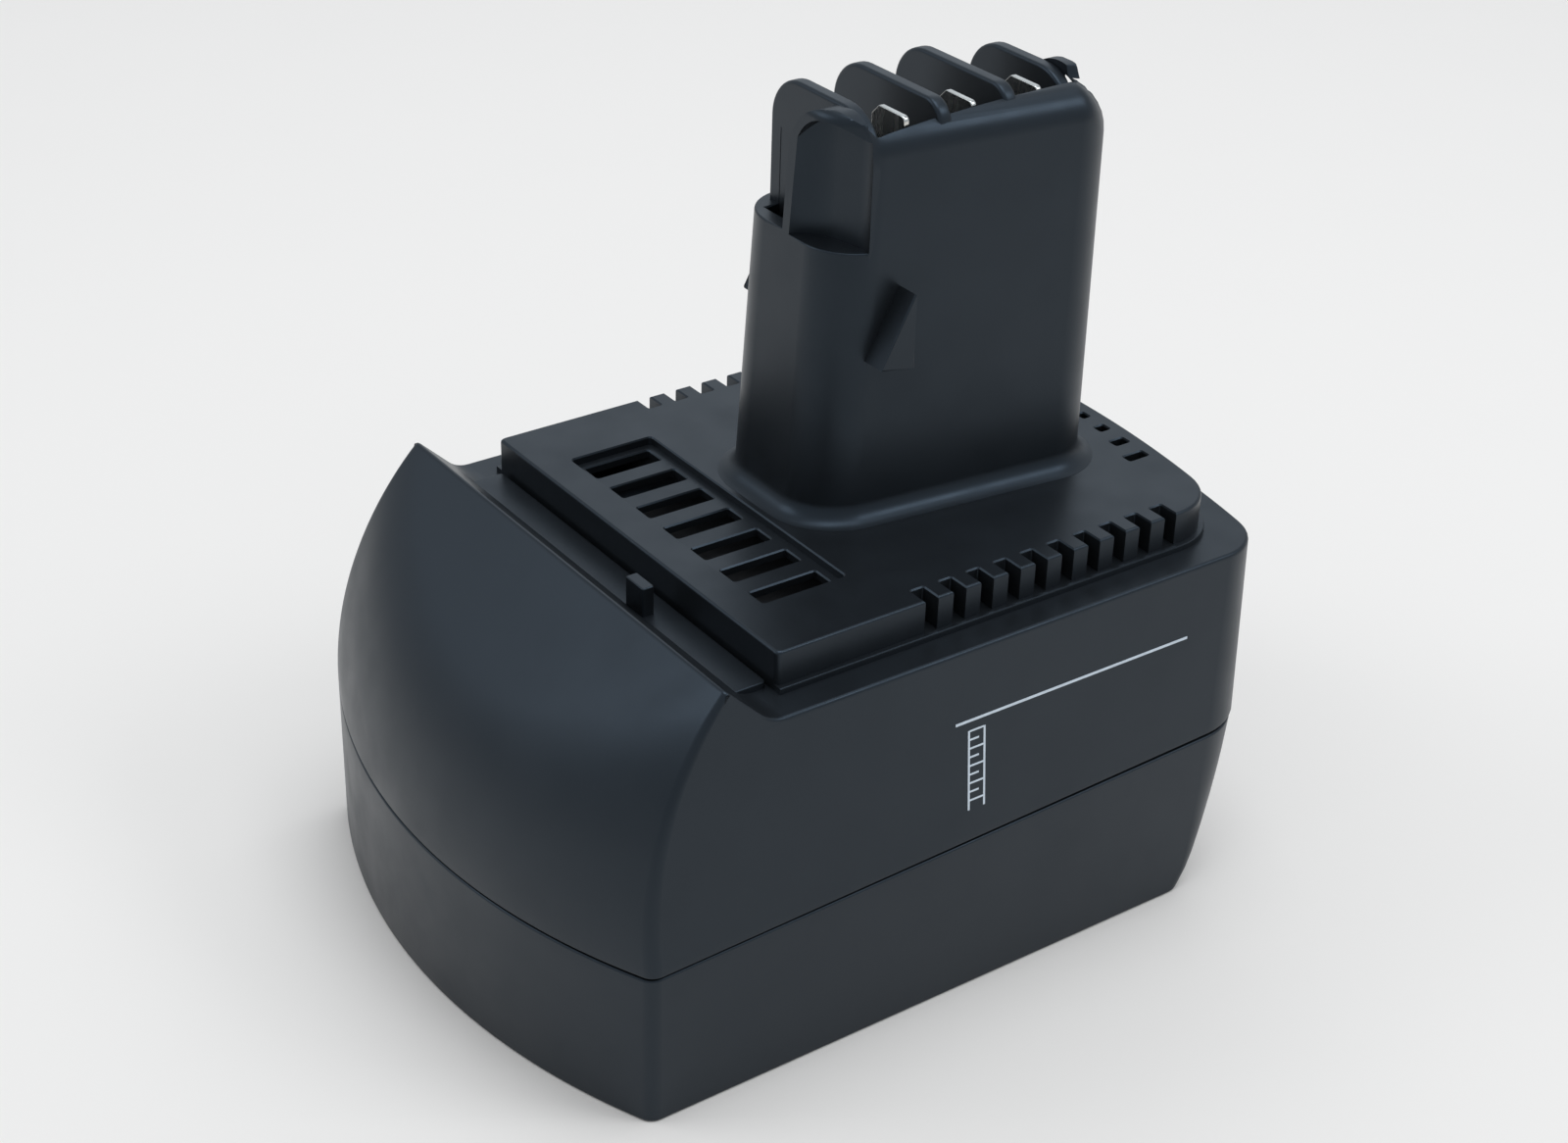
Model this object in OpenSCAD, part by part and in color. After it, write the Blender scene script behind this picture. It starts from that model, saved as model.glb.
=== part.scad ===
// Slide-in battery pack for a cordless tool: a crowned base that holds nine upright
// cells and a tower that holds a tenth cell and the contact head.
// The origin is the centre of the footprint, on the surface that the pack stands on.
// X runs across the pack, -Y is the crowned front with the straight lip, +Z is up.

/* [Base] */
// Width of the base at the parting line
body_w = 78; // [77.5:0.1:83]
// Length of the base over its two crowns
body_l = 108; // [107.5:0.1:112.5]
// Room between the back row of cells and the crown of the back
back_room = 12.75; // [12.2:0.05:14]
// Radius of the crowned front, seen from above
crown_r = 89; // [80:1:110]
// Radius of the crowned back, seen from above
back_crown_r = 150; // [120:1:200]
// Radius of the two back corners, seen from above
back_corner_r = 10; // [8:0.5:14]
// Height of the parting line half way along the base
parting_z = 22.7; // [20:0.1:26]
// Rise of the parting line towards the back, in degrees
parting_tilt = 1.8; // [0:0.1:2.5]
// Inward lean of the side walls above the parting line, in degrees
side_draft = 5.4; // [3:0.1:6]
// Wall thickness of both mouldings
wall = 2.2; // [1.6:0.1:2.6]
// Thickness of the floor of the tray
floor_t = 2; // [1.6:0.1:3]
// Lean of the upper half of the back wall of the tray, in degrees
tray_lean_high = 11; // [6:0.5:12]
// Lean of the lower half of the back wall of the tray, in degrees
tray_lean_low = 21; // [14:0.5:22]
// Set-back of the tray under the upper moulding at the back
tray_set = 0.5; // [0.3:0.05:0.8]
// Height of the tongue on the rim of the tray
tongue_h = 2; // [1:0.1:3]
// Gap between the two mouldings at the parting line
parting_gap = 0.2; // [0.1:0.05:0.4]
// Clearance around the tongue and other fits of the mouldings
fit_gap = 0.15; // [0.1:0.05:0.3]

/* [Deck] */
// Height of the deck that carries the tower, above the cells
deck_rise = 8.6; // [8:0.1:12]
// Distance of the side walls of the deck from the sides at the parting line
side_step = 7.4; // [6.6:0.1:9]
// Distance of the front wall of the deck behind the crown of the front
deck_set = 30.6; // [29:0.1:31]
// Width of the step behind the deck
back_step = 5; // [4:0.1:8]
// Radius of the two back corners of the deck
deck_corner_r = 8; // [5:0.5:9]
// Height of the step around the deck, above the cells
step_rise = 3.4; // [3.2:0.1:4.2]
// Height of the floor of the trough in front of the deck, above the cells
trough_rise = 4.3; // [4.2:0.1:5]
// Distance of the ends of the trough from the side walls of the deck
trough_end = 1.4; // [0.8:0.1:3]
// Distance of the lip behind the crown of the front
lip_set = 20.7; // [19.4:0.1:21.4]
// Height of the lip, above the cells
lip_rise = 9.2; // [8.6:0.1:11]
// Lean of the face under the lip, from upright, in degrees
face_lean = 45; // [40:0.5:50]
// Radius of the soft turn between the crowned front and the leaning face
face_blend = 30; // [20:1:34]
// Width of the key in the trough, along X
key_w = 3.9; // [2:0.1:5]
// Thickness of the key, along Y
key_t = 1.7; // [1.2:0.1:2.4]
// Height of the key
key_h = 3.9; // [2:0.1:4.2]
// Distance of the middle of the key from the centre, along X
key_x = 8.75; // [4:0.25:20]
// Distance of the front of the key in front of the deck
key_set = 4.8; // [4:0.1:5]

/* [Vents] */
// Number of slots in the grille
grille_n = 7; // [3:1:7]
// Pitch of the slots in the grille
grille_pitch = 6.22; // [5:0.1:6.4]
// Width of a slot in the grille
grille_slot_w = 3.2; // [2:0.1:4]
// Land between the slots of the grille and the tower or the front of the deck
grille_land = 5.8; // [5.2:0.1:7]
// Shift of the grille from the middle of its land towards the tower
grille_shift = 0.4; // [0:0.1:0.6]
// Margin of the sunk field around the slots
grille_margin = 1.25; // [0.8:0.05:1.5]
// Depth of the sunk field of the grille
grille_sink = 1.1; // [0.6:0.1:1.2]
// Number of notches along each side of the deck
notch_n = 10; // [4:1:10]
// Pitch of the notches
notch_pitch = 4.23; // [3.6:0.05:4.3]
// Width of a notch
notch_w = 1.95; // [1.2:0.05:2.4]
// Depth of a notch into the deck
notch_d = 3; // [2.6:0.1:4]
// Distance of the first notch behind the front of the tower
notch_set = 0.2; // [-2:0.1:2]
// Number of vents along each half of the back of the deck
back_vent_n = 4; // [1:1:5]
// Width of a vent at the back of the deck
back_vent_w = 1.5; // [1:0.1:2]
// Length of the vent in the middle of the back
back_vent_l = 1; // [0.8:0.1:1.6]
// Distance of the vents from the back edge of the deck
back_vent_edge = 2; // [1.5:0.1:3]

/* [Tower] */
// Distance of the back of the tower from the crown of the back
tower_set = 14.1; // [12.5:0.1:14.6]
// Length of the tower beyond the pocket of its cell
tower_rest = 19; // [18.6:0.1:20]
// Half width of the foot of the tower near its front
tower_front_half = 11.5; // [11:0.1:13]
// Thickness of the side walls of the tower at its foot, beside the cell
tower_side_wall = 3.1; // [2.6:0.1:5]
// Thickness of the back wall of the tower at its foot
tower_back_wall = 2.9; // [2:0.1:4]
// Radius of the front corners of the tower
tower_front_r = 7.3; // [5:0.1:9]
// Radius of the back corners of the tower
tower_back_r = 8; // [5:0.1:9]
// Width at the top as a share of the width at the foot
tower_taper_x = 0.94; // [0.92:0.005:1]
// Length at the top as a share of the length at the foot
tower_taper_y = 0.965; // [0.95:0.005:1]
// Height of the fins of the contact head above the floor of the slots
fin_h = 13.3; // [12:0.1:18]
// Distance of the top of the closed side wall below the tops of the fins
head_wall_drop = 1.4; // [1:0.1:3]
// Thickness of a fin
fin_t = 2; // [1.4:0.1:2.6]
// Distance of the first fin behind the front of the tower
fin_front = 6.1; // [5.9:0.1:6.5]
// Distance of the last fin from the back of the tower
fin_back = 5.75; // [5.5:0.05:6.2]
// Radius of the open top corners of the fins
fin_r = 5.5; // [3:0.1:6]
// Radius along the top of the closed side of the head
head_edge_r = 4; // [2:0.1:5]
// Inner face of the closed side wall of the head
head_wall_x = 9.8; // [9.7:0.05:10.2]
// Thickness of the floor of the contact slots
slot_floor_t = 1.4; // [1:0.1:3]
// Radius of the upright grooves at the front and back of the head
groove_r = 5.3; // [4.4:0.1:5.4]
// Middle of the grooves, along X
groove_x = 5.1; // [4.6:0.1:5.4]
// Depth of the floor of the grooves below the floor of the slots
groove_drop = 3.8; // [1:0.1:4.4]
// Wall left between a groove and the fin behind it
groove_wall = 0.3; // [0.2:0.05:0.6]
// Depth of the foot of the catches below the tops of the fins
catch_drop = 31.45; // [26:0.05:34]
// Distance of the tip of the catch behind the front of the tower
catch_set = 5; // [4:0.05:8]
// Length of the catch along Y
catch_l = 5.3; // [4:0.1:9]
// Rise of the catch
catch_h = 10.85; // [7:0.05:12]
// Fall of the foot of the catch towards its upright edge
catch_fall = 1.05; // [0:0.05:2]
// Projection of the catch from the tower
catch_out = 3.1; // [1:0.1:3.4]
// Radius of the turn at the foot of the tower
foot_r = 2.5; // [1:0.1:3]

/* [Contacts] */
// Width of a contact blade
blade_w = 6.3; // [4.8:0.1:6.4]
// Thickness of a contact blade
blade_t = 0.8; // [0.5:0.1:1.2]
// Distance of the tops of the blades below the tops of the fins
blade_drop = 1.2; // [0.6:0.1:4]
// Radius of the top corners of a blade
blade_r = 1.6; // [0.5:0.1:2.4]
// Thickness of the carrier that holds the blades
carrier_t = 1.3; // [1:0.1:1.4]
// Thickness of the foot of a blade
foot_t = 0.6; // [0.4:0.1:0.7]

/* [Cells] */
// Diameter of the can of a cell
can_d = 22.1; // [21.6:0.1:22.2]
// Height of a cell over its cap
cell_h = 42.5; // [42:0.1:43]
// Diameter of the cap of a cell
cap_d = 9; // [7:0.1:11]
// Height of the cap of a cell
cap_h = 1; // [0.6:0.1:1.4]
// Thickness of the film around a cell
film_t = 0.15; // [0.1:0.05:0.2]
// Gap between the film and the can
film_gap = 0.05; // [0.03:0.01:0.1]
// Gap between the cells of a row
cell_gap = 0.3; // [0.2:0.05:0.4]
// Gap between the rows of cells, which holds a divider
row_gap = 1.3; // [1.2:0.05:1.5]
// Thickness of a link strip
link_t = 0.2; // [0.15:0.05:0.3]
// Width of a link strip
link_w = 7; // [5:0.5:9]
// Thickness of an insulating card
card_t = 0.3; // [0.2:0.05:0.4]
// Thickness of the foam pad under the cells
pad_t = 0.8; // [0.5:0.1:1]
// Thickness of a divider between the rows
divider_t = 1; // [0.6:0.1:1]
// Distance of the tops of the dividers below the tops of the cells
divider_drop = 6; // [2:0.5:12]
// Gap between the foam block in front of the cells and the crown of the front
front_pad_gap = 12.85; // [12:0.05:16]
// Width of the foam strips over the side cells
pad_strip_w = 3; // [2:0.1:3.4]
// Height of the foam block in front of the cells
front_pad_h = 28; // [15:1:32]
// Width of a conducting strap
strap_w = 5; // [3:0.25:6]
// Length of the folded end of a strap
strap_foot = 3; // [2:0.1:3.4]

/* [Screws] */
// Diameter of the thread of a case screw
screw_d = 3; // [2.5:0.1:3.5]
// Length of a case screw under its head
screw_l = 24; // [20:0.5:28]
// Diameter of the head of a case screw
screw_head_d = 5.6; // [5:0.1:5.8]
// Height of the head of a case screw
screw_head_h = 2.2; // [1.8:0.1:2.6]
// Diameter of a screw boss
boss_d = 7.4; // [7:0.1:8]
// Height of the seat of the screw heads above the ground
screw_seat_z = 12; // [8:0.5:14]
// Distance of the front screws from the sides at the parting line
screw_side = 10; // [9:0.25:12]
// Distance of the front screws in front of the lip
screw_front = 2.2; // [1:0.1:3]
// Gap between the back bosses and the cells
boss_gap = 0.45; // [0.3:0.05:0.8]
// Clearance of the screws in their holes
screw_gap = 0.1; // [0.05:0.05:0.2]
// Clearance around the heads of the screws
head_gap = 0.2; // [0.1:0.05:0.4]
// Width across the flats of the drive in a screw head
drive_w = 2.6; // [2:0.1:3]

/* [Thermal cut-out] */
// Length of the case of the cut-out
cut_l = 16; // [15:0.25:16.5]
// Width of the case of the cut-out
cut_w = 9; // [8.6:0.1:10]
// Height of the case of the cut-out with its cover
cut_h = 4.8; // [4.6:0.1:5]
// Wall of the case of the cut-out
cut_wall = 0.8; // [0.6:0.1:0.9]
// Gap between the cut-out and the side wall of the deck
cut_side = 1.1; // [0.8:0.1:1.4]
// Distance of the front of the cut-out behind the first fin
cut_set = 1; // [0:0.1:2]
// Width of the strip that carries the switch arm
post_w = 2; // [1.6:0.1:2.2]
// Length of the switch arm
arm_l = 11; // [9:0.25:11.5]
// Width of the switch arm
arm_w = 2.6; // [1.8:0.1:3]
// Thickness of the strips and the arm of the cut-out
leaf_t = 0.3; // [0.2:0.05:0.35]
// Radius of the pin that the switch arm turns on
pin_r = 0.35; // [0.3:0.05:0.4]
// Radius of the rolled eye of the switch arm
eye_r = 0.75; // [0.7:0.05:0.8]
// Gap between the closed contacts
contact_gap = 0.05; // [0.03:0.01:0.1]

/* [Hidden] */

$fn = 96;
eps = 0.01;
far = 200;

// Cells: size over the film, pitch across the pack and along it
film_r = can_d / 2 + film_gap + film_t;
cell_px = 2 * film_r + cell_gap;
cell_py = 2 * film_r + row_gap;

// Stack of the cell block, from the floor up
pad_z = floor_t;
low_card_z = pad_z + pad_t;
low_link_z = low_card_z + card_t;
cell_z = low_link_z + link_t;
cell_top = cell_z + cell_h;
top_card_z = cell_top + link_t;
strap_z = top_card_z + card_t + 0.1;
strap_t = 0.5;
tower_cell_z = top_card_z + card_t + link_t;
tower_cell_top = tower_cell_z + cell_h;

// Base: half sizes, heights and the middles of the crown arcs
half_w = body_w / 2;
half_l = body_l / 2;
lip_y = half_l - lip_set;
deck_front = half_l - deck_set;
key_y = deck_front + key_set;
deck_z = cell_top + deck_rise;
step_z = cell_top + step_rise;
trough_z = cell_top + trough_rise;
lip_z = cell_top + lip_rise;
crown_y = half_l - back_crown_r;
corner_y = crown_y + sqrt(pow(back_crown_r - back_corner_r, 2) - pow(half_w - back_corner_r, 2));
corner_dir = [half_w - back_corner_r, corner_y - crown_y] / (back_crown_r - back_corner_r);
roof_z = step_z - wall;
deck_roof_z = deck_z - wall;

// Deck: its back arc runs along the back of the base at the width of the step
deck_half = half_w - side_step;
deck_w = 2 * deck_half;
trough_half = deck_half - trough_end;
deck_arc_r = back_crown_r - back_step;
deck_corner_y = crown_y + sqrt(pow(deck_arc_r - deck_corner_r, 2) - pow(deck_half - deck_corner_r, 2));
deck_corner_dir = [deck_half - deck_corner_r, deck_corner_y - crown_y] / (deck_arc_r - deck_corner_r);

// Places of the nine base cells in the order in which they are linked
cell_back_y = half_l - back_room - film_r;
rows = [cell_back_y - 2 * cell_py, cell_back_y - cell_py, cell_back_y];
cell_at = [[-cell_px, rows[0]], [0, rows[0]], [cell_px, rows[0]],
    [cell_px, rows[1]], [cell_px, rows[2]], [0, rows[2]],
    [-cell_px, rows[2]], [-cell_px, rows[1]], [0, rows[1]]];

// Tower: pocket of its cell and the outline of its foot
pocket_r = film_r + 0.25;
tower_back = half_l - tower_set;
tower_l = 2 * pocket_r + tower_rest;
tower_front = tower_back - tower_l;
tower_back_half = pocket_r + tower_side_wall;
tower_cell_y = tower_back - tower_back_wall - pocket_r;
well_half = 6.5;
well_y0 = tower_front + 3.6;

// Vents between the tower and the front and sides of the deck
grille_slot_l = tower_front + deck_front - 2 * grille_land;
grille_y = (deck_front - tower_front) / 2 - grille_shift;
notch_y0 = tower_front + notch_set;

// Front of the strap that climbs in front of the first cell
strap_y = rows[0] - film_r - 1.2 - strap_t;

// Contact head: fins, slots and blades, and the stack under the slots
fin_y0 = tower_front + fin_front;
fin_pitch = (tower_back - fin_back - fin_y0) / 3;
fin_y = [for (i = [0:3]) fin_y0 + i * fin_pitch];
blade_y = [for (i = [0:2]) fin_y0 + (i + 0.5) * fin_pitch];
blade_x1 = head_wall_x - 0.3;
blade_x0 = blade_x1 - blade_w;
strap_leaf = 0.2;
plus_z = tower_cell_top;
card2_z = plus_z + strap_leaf + 0.05;
foot_z = card2_z + card_t + 0.25;
carrier_z = foot_z + foot_t + 0.1;
head_roof_z = carrier_z + carrier_t + 0.1;
slot_floor_z = head_roof_z + slot_floor_t;
fin_z = slot_floor_z + fin_h;
head_wall_z = fin_z - head_wall_drop;
groove_z = slot_floor_z - groove_drop;
catch_z = fin_z - catch_drop;
blade_z = fin_z - blade_drop;
carrier_x0 = -6;
carrier_y0 = fin_y[0] + 1;
carrier_y1 = fin_y[3] - 0.6;

// Screws
front_screw = [half_w - screw_side, -lip_y - screw_front];
back_screw = [cell_px / 2,
    cell_back_y + sqrt(pow(film_r + boss_d / 2 + boss_gap, 2) - pow(cell_px / 2, 2))];
card_y1 = back_screw[1] - boss_d / 2 - 0.3;
screw_at = [front_screw, [-front_screw[0], front_screw[1]], back_screw, [-back_screw[0], back_screw[1]]];

// Thermal cut-out, from its floor up
cut_x = deck_half - wall - cut_side - cut_l;
cut_y = fin_y0 + cut_set;
cut_z = top_card_z + card_t + 0.05;
cover_t = cut_wall;
cut_floor_z = cut_z + cut_wall;
cut_rim_z = cut_z + cut_h - cover_t;
cut_mid = cut_y + 0.52 * cut_w;
dome_h = 0.4;
arm_z = cut_floor_z + leaf_t + dome_h + contact_gap + 0.75;
arm_x = cut_x + cut_wall + 2.1;
hinge_z = arm_z + leaf_t / 2;
pin_fit = 0.1;
pin_gap = 0.25;
disc_r = 2.4;
strip_w = 1.3;
post_y = cut_y + cut_w - cut_wall - post_w - 0.8;

// Height of the parting plane at a place along Y
function parting_at(y) = parting_z + y * tan(parting_tilt);
// Inset of the tongue of the tray, so that it clears the draft of the groove
tongue_inset = wall / 2 + fit_gap + (parting_at(half_l) + tongue_h - parting_z) * tan(side_draft);
// Half width of the upper base at a height
function half_at(z) = half_w - (z - parting_z) * tan(side_draft);
// Front of the crown at a distance from the middle
function crown_front(x) = -half_l + crown_r - sqrt(pow(crown_r, 2) - pow(x, 2));
// Height at which the leaning face would meet the crown
function face_z(x) = lip_z - (-crown_front(x) - lip_y) / tan(face_lean);
// Height at which the soft turn of the front starts
turn_z = face_z(0) - face_blend * tan(face_lean / 2);
// Radius of the soft turn at a distance from the middle
function blend_at(x) = (face_z(x) - turn_z) / tan(face_lean / 2);
// Place of the soft turn at a lean, as the distance along the outward normal
function turn_n(x, a) = (-crown_front(x) - blend_at(x)) * cos(a) + turn_z * sin(a) + blend_at(x);
// Sagitta of the soft turn at a lean, over the width of the base
function turn_sag(a) = turn_n(0, a) - turn_n(half_w - 2, a);
function turn_r(a) = (pow(half_w - 2, 2) + pow(turn_sag(a), 2)) / (2 * turn_sag(a));

// Outline of the base from above, drawn in by a wall; the back crown can be left pointed
module base_outline(inset, crowned = true) {
    tip = [0, crown_y] + (crowned ? back_crown_r : back_crown_r - inset - 0.25) * corner_dir;
    r = back_corner_r - inset;
    intersection() {
        translate([0, crown_r - half_l]) circle(crown_r - inset, $fn = 180);
        if (crowned)
            translate([0, crown_y]) circle(back_crown_r - inset, $fn = 180);
        union() {
            translate([-half_w + inset, -far / 2])
                square([body_w - 2 * inset, far / 2 + corner_y]);
            for (s = [-1, 1])
                translate([s * (half_w - back_corner_r), corner_y]) circle(r);
            polygon([[-half_w + back_corner_r, corner_y - eps], [-tip[0], tip[1]],
                [0, half_l + 5], [tip[0], tip[1]], [half_w - back_corner_r, corner_y - eps]]);
        }
    }
}

// Outline of the deck from above, drawn in by a wall
module deck_outline(inset) {
    tip = [0, crown_y] + deck_arc_r * deck_corner_dir;
    r = deck_corner_r - inset;
    intersection() {
        translate([0, crown_y]) circle(deck_arc_r - inset, $fn = 180);
        union() {
            translate([-deck_half + inset, -deck_front + inset])
                square([deck_w - 2 * inset, deck_front + deck_corner_y - inset]);
            for (s = [-1, 1])
                translate([s * (deck_half - deck_corner_r), deck_corner_y]) circle(r);
            polygon([[-deck_half + deck_corner_r, deck_corner_y - eps], [-tip[0], tip[1]],
                [0, crown_y + deck_arc_r + 5], [tip[0], tip[1]],
                [deck_half - deck_corner_r, deck_corner_y - eps]]);
        }
    }
}

// A profile in Y and Z carried along X between two places
module along_x(x0, x1) {
    translate([x0, 0, 0]) rotate([90, 0, 90]) linear_extrude(x1 - x0) children();
}

// A profile in X and Z carried along Y between two places
module along_y(y0, y1) {
    translate([0, y1, 0]) rotate([90, 0, 0]) linear_extrude(y1 - y0) children();
}

// Everything above the tilted parting plane, raised by an amount
module above_parting(lift) {
    translate([0, 0, parting_z + lift]) rotate([parting_tilt, 0, 0])
        translate([-far / 2, -far / 2, 0]) cube([far, far, far]);
}

// Everything below the tilted parting plane, raised by an amount
module below_parting(lift) {
    translate([0, 0, parting_z + lift]) rotate([parting_tilt, 0, 0])
        translate([-far / 2, -far / 2, -far]) cube([far, far, far]);
}

// Large upright-ish cylinder that turns the crowned front into the leaning face
module turn_cylinder(a, inset) {
    r = turn_r(a);
    rotate([-a, 0, 0]) translate([0, r - turn_n(0, a), -far])
        cylinder(h = 2 * far, r = r - inset, $fn = 180);
}

// Space inside the side walls and the front of the upper base, drawn in by a wall
module upper_space(inset, z0, z1) {
    side = inset / cos(side_draft);
    back_off = inset / sin(face_lean);
    intersection() {
        translate([0, 0, z0]) linear_extrude(z1 - z0) base_outline(inset);
        along_y(-far, far) polygon([
            [-half_at(z0) + side, z0], [half_at(z0) - side, z0],
            [half_at(z1) - side, z1], [-half_at(z1) + side, z1]]);
        along_x(-far, far) polygon([
            [-lip_y - (lip_z - z1) * tan(face_lean) + back_off * tan(face_lean), z1],
            [-lip_y - (lip_z - z0) * tan(face_lean) + back_off * tan(face_lean), z0],
            [far, z0], [far, z1]]);
        turn_cylinder(face_lean / 3, inset);
        turn_cylinder(2 * face_lean / 3, inset);
    }
}

// The lip with the trough behind it and the sloping ends of the side steps
module lip_block() {
    drop = lip_z - trough_z;
    run = lip_y - key_y;
    slope = run / drop;
    low = roof_z;
    intersection() {
        upper_space(0, parting_z, lip_z);
        union() {
            along_x(-trough_half, trough_half) polygon([[-far, low], [-deck_front + 1, low],
                [-deck_front + 1, trough_z], [-lip_y + run, trough_z], [-lip_y, lip_z], [-far, lip_z]]);
            along_x(-half_w, half_w) polygon([[-far, low], [-deck_front + 1, low],
                [-deck_front + 1, step_z], [-lip_y + (lip_z - step_z) * slope, step_z],
                [-lip_y, lip_z], [-far, lip_z]]);
        }
    }
}

// Outline of the foot of the tower
module tower_outline(grow) {
    hull() {
        for (s = [-1, 1]) {
            translate([s * (tower_front_half - tower_front_r), tower_front + tower_front_r])
                circle(tower_front_r + grow, $fn = 48);
            translate([s * (tower_back_half - tower_back_r), tower_back - tower_back_r])
                circle(tower_back_r + grow, $fn = 48);
        }
    }
}

// The tower as it leaves the mould, drawn in towards its upright back
module tower_solid() {
    translate([0, tower_back, deck_roof_z])
        linear_extrude(fin_z - deck_roof_z, scale = [tower_taper_x, tower_taper_y], slices = 1)
        translate([0, -tower_back]) tower_outline(0);
    mid = (tower_front + tower_back) / 2;
    reach = tower_back_half + foot_r;
    long = tower_back - tower_front + 2 * foot_r;
    translate([0, mid, deck_z - eps])
        linear_extrude(foot_r, scale = [1 - foot_r / reach, 1 - 2 * foot_r / long], slices = 1)
        translate([0, -mid]) tower_outline(foot_r);
}

// Shape of the head seen from the front: open fins on one side, closed wall on the other
module head_profile() {
    left = -tower_back_half;
    right = tower_back_half;
    translate([left - 5, deck_z]) square([right - left + 10, slot_floor_z - deck_z]);
    translate([-tower_front_half + fin_r + 1, slot_floor_z - 1])
        square([head_wall_x + tower_front_half - fin_r - 1, fin_z - slot_floor_z + 1]);
    translate([-tower_front_half + 1, slot_floor_z - 1])
        square([fin_r + 1, fin_z - fin_r - slot_floor_z + 1]);
    translate([-tower_front_half + 1 + fin_r, fin_z - fin_r]) circle(fin_r);
    translate([head_wall_x - 1, slot_floor_z - 1])
        square([right - head_wall_x + 6, head_wall_z - head_edge_r - slot_floor_z + 1]);
    translate([head_wall_x - 1, slot_floor_z - 1])
        square([right - head_edge_r - head_wall_x, head_wall_z - slot_floor_z + 1]);
    translate([right - head_edge_r - 1, head_wall_z - head_edge_r]) circle(head_edge_r);
}

// Rounded arch of the rim around a groove
module groove_arch(grow, z0) {
    r = groove_r + grow;
    translate([groove_x - r, z0]) square([2 * r, fin_z - 0.6 + grow - r - z0]);
    translate([groove_x, fin_z - 0.6 + grow - r]) circle(r);
}

// What is cut from the head: slots, open corners and the two grooves
module head_cuts() {
    for (i = [0:2])
        translate([-tower_back_half - 1, fin_y[i] + fin_t / 2, slot_floor_z])
            cube([tower_back_half + 1 + head_wall_x, fin_pitch - fin_t, far]);
    front = fin_y[0] - fin_t / 2;
    back = fin_y[3] + fin_t / 2;
    reach = tower_l / 4;
    for (end = [[front, -1], [back, 1]]) {
        y0 = end[1] < 0 ? end[0] - reach : end[0];
        difference() {
            translate([-tower_back_half - 1, y0, slot_floor_z - 2])
                cube([tower_back_half + 1 + head_wall_x, reach, far]);
            along_y(y0 - 1, y0 + reach + 1) groove_arch(1.2, deck_z);
        }
        intersection() {
            along_y(y0 - 1, y0 + reach + 1) groove_arch(0, groove_z);
            translate([groove_x, end[0] + end[1] * (groove_r + groove_wall), groove_z])
                cylinder(h = far, r = groove_r);
        }
        wide = tower_front_half - tower_front_r + 3;
        translate([-wide, end[1] < 0 ? end[0] - 2 : end[0], groove_z - 4])
            cube([wide + groove_x - groove_r - 2.2, 2, far]);
    }
}

// Sloped catch on the side of the tower
module side_catch(side) {
    y0 = tower_front + catch_set;
    y1 = y0 + catch_l;
    x0 = tower_front_half - 2.2;
    x1 = tower_front_half - 0.4 + catch_out;
    foot = catch_z + catch_fall;
    top = catch_z + catch_h;
    mirror([side < 0 ? 1 : 0, 0, 0])
        along_x(x0, x1) polygon([[y0, foot], [y1, catch_z], [y1, top]]);
}

// Hollow of the tower: pocket of its cell, wire well and bed of the carrier
module tower_hollow() {
    translate([0, tower_cell_y, roof_z - 5]) cylinder(h = card2_z - 0.1 - roof_z + 5, r = pocket_r);
    translate([-well_half, well_y0, roof_z - 5])
        cube([2 * well_half, tower_cell_y - well_y0, card2_z - 0.1 - roof_z + 5]);
    translate([carrier_x0 - 1.8, carrier_y0 - fit_gap, card2_z - 0.2])
        cube([blade_x1 + 0.15 + fit_gap - carrier_x0 + 1.8, carrier_y1 - carrier_y0 + 2 * fit_gap,
            head_roof_z - card2_z + 0.2]);
    for (y = blade_y)
        translate([blade_x0 - fit_gap, y - blade_t / 2 - fit_gap, head_roof_z - 1])
            cube([blade_w + 2 * fit_gap, blade_t + 2 * fit_gap, 5]);
}

// Openings that let the cooling air through the deck
module deck_vents() {
    field_w = (grille_n - 1) * grille_pitch + grille_slot_w + 2 * grille_margin;
    field_l = grille_slot_l + 2 * grille_margin;
    translate([-field_w / 2, -grille_y - field_l / 2, deck_z - grille_sink]) cube([field_w, field_l, 5]);
    for (i = [0:grille_n - 1])
        translate([(i - (grille_n - 1) / 2) * grille_pitch - grille_slot_w / 2,
            -grille_y - grille_slot_l / 2, deck_roof_z - 1])
            cube([grille_slot_w, grille_slot_l, wall + 5]);
    for (s = [0, 1], i = [0:notch_n - 1])
        mirror([s, 0, 0])
            translate([deck_half - notch_d, notch_y0 + i * notch_pitch, step_z])
            cube([notch_d + 5, notch_w, deck_z - step_z + 5]);
    for (i = [-back_vent_n:back_vent_n]) {
        x = i * notch_pitch;
        len = back_vent_l + 2.2 * pow(i / 4, 2);
        y1 = crown_y + sqrt(pow(deck_arc_r - back_vent_edge, 2) - pow(x, 2));
        translate([x - back_vent_w / 2, y1 - len, deck_roof_z - 1]) cube([back_vent_w, len, wall + 5]);
    }
}

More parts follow.
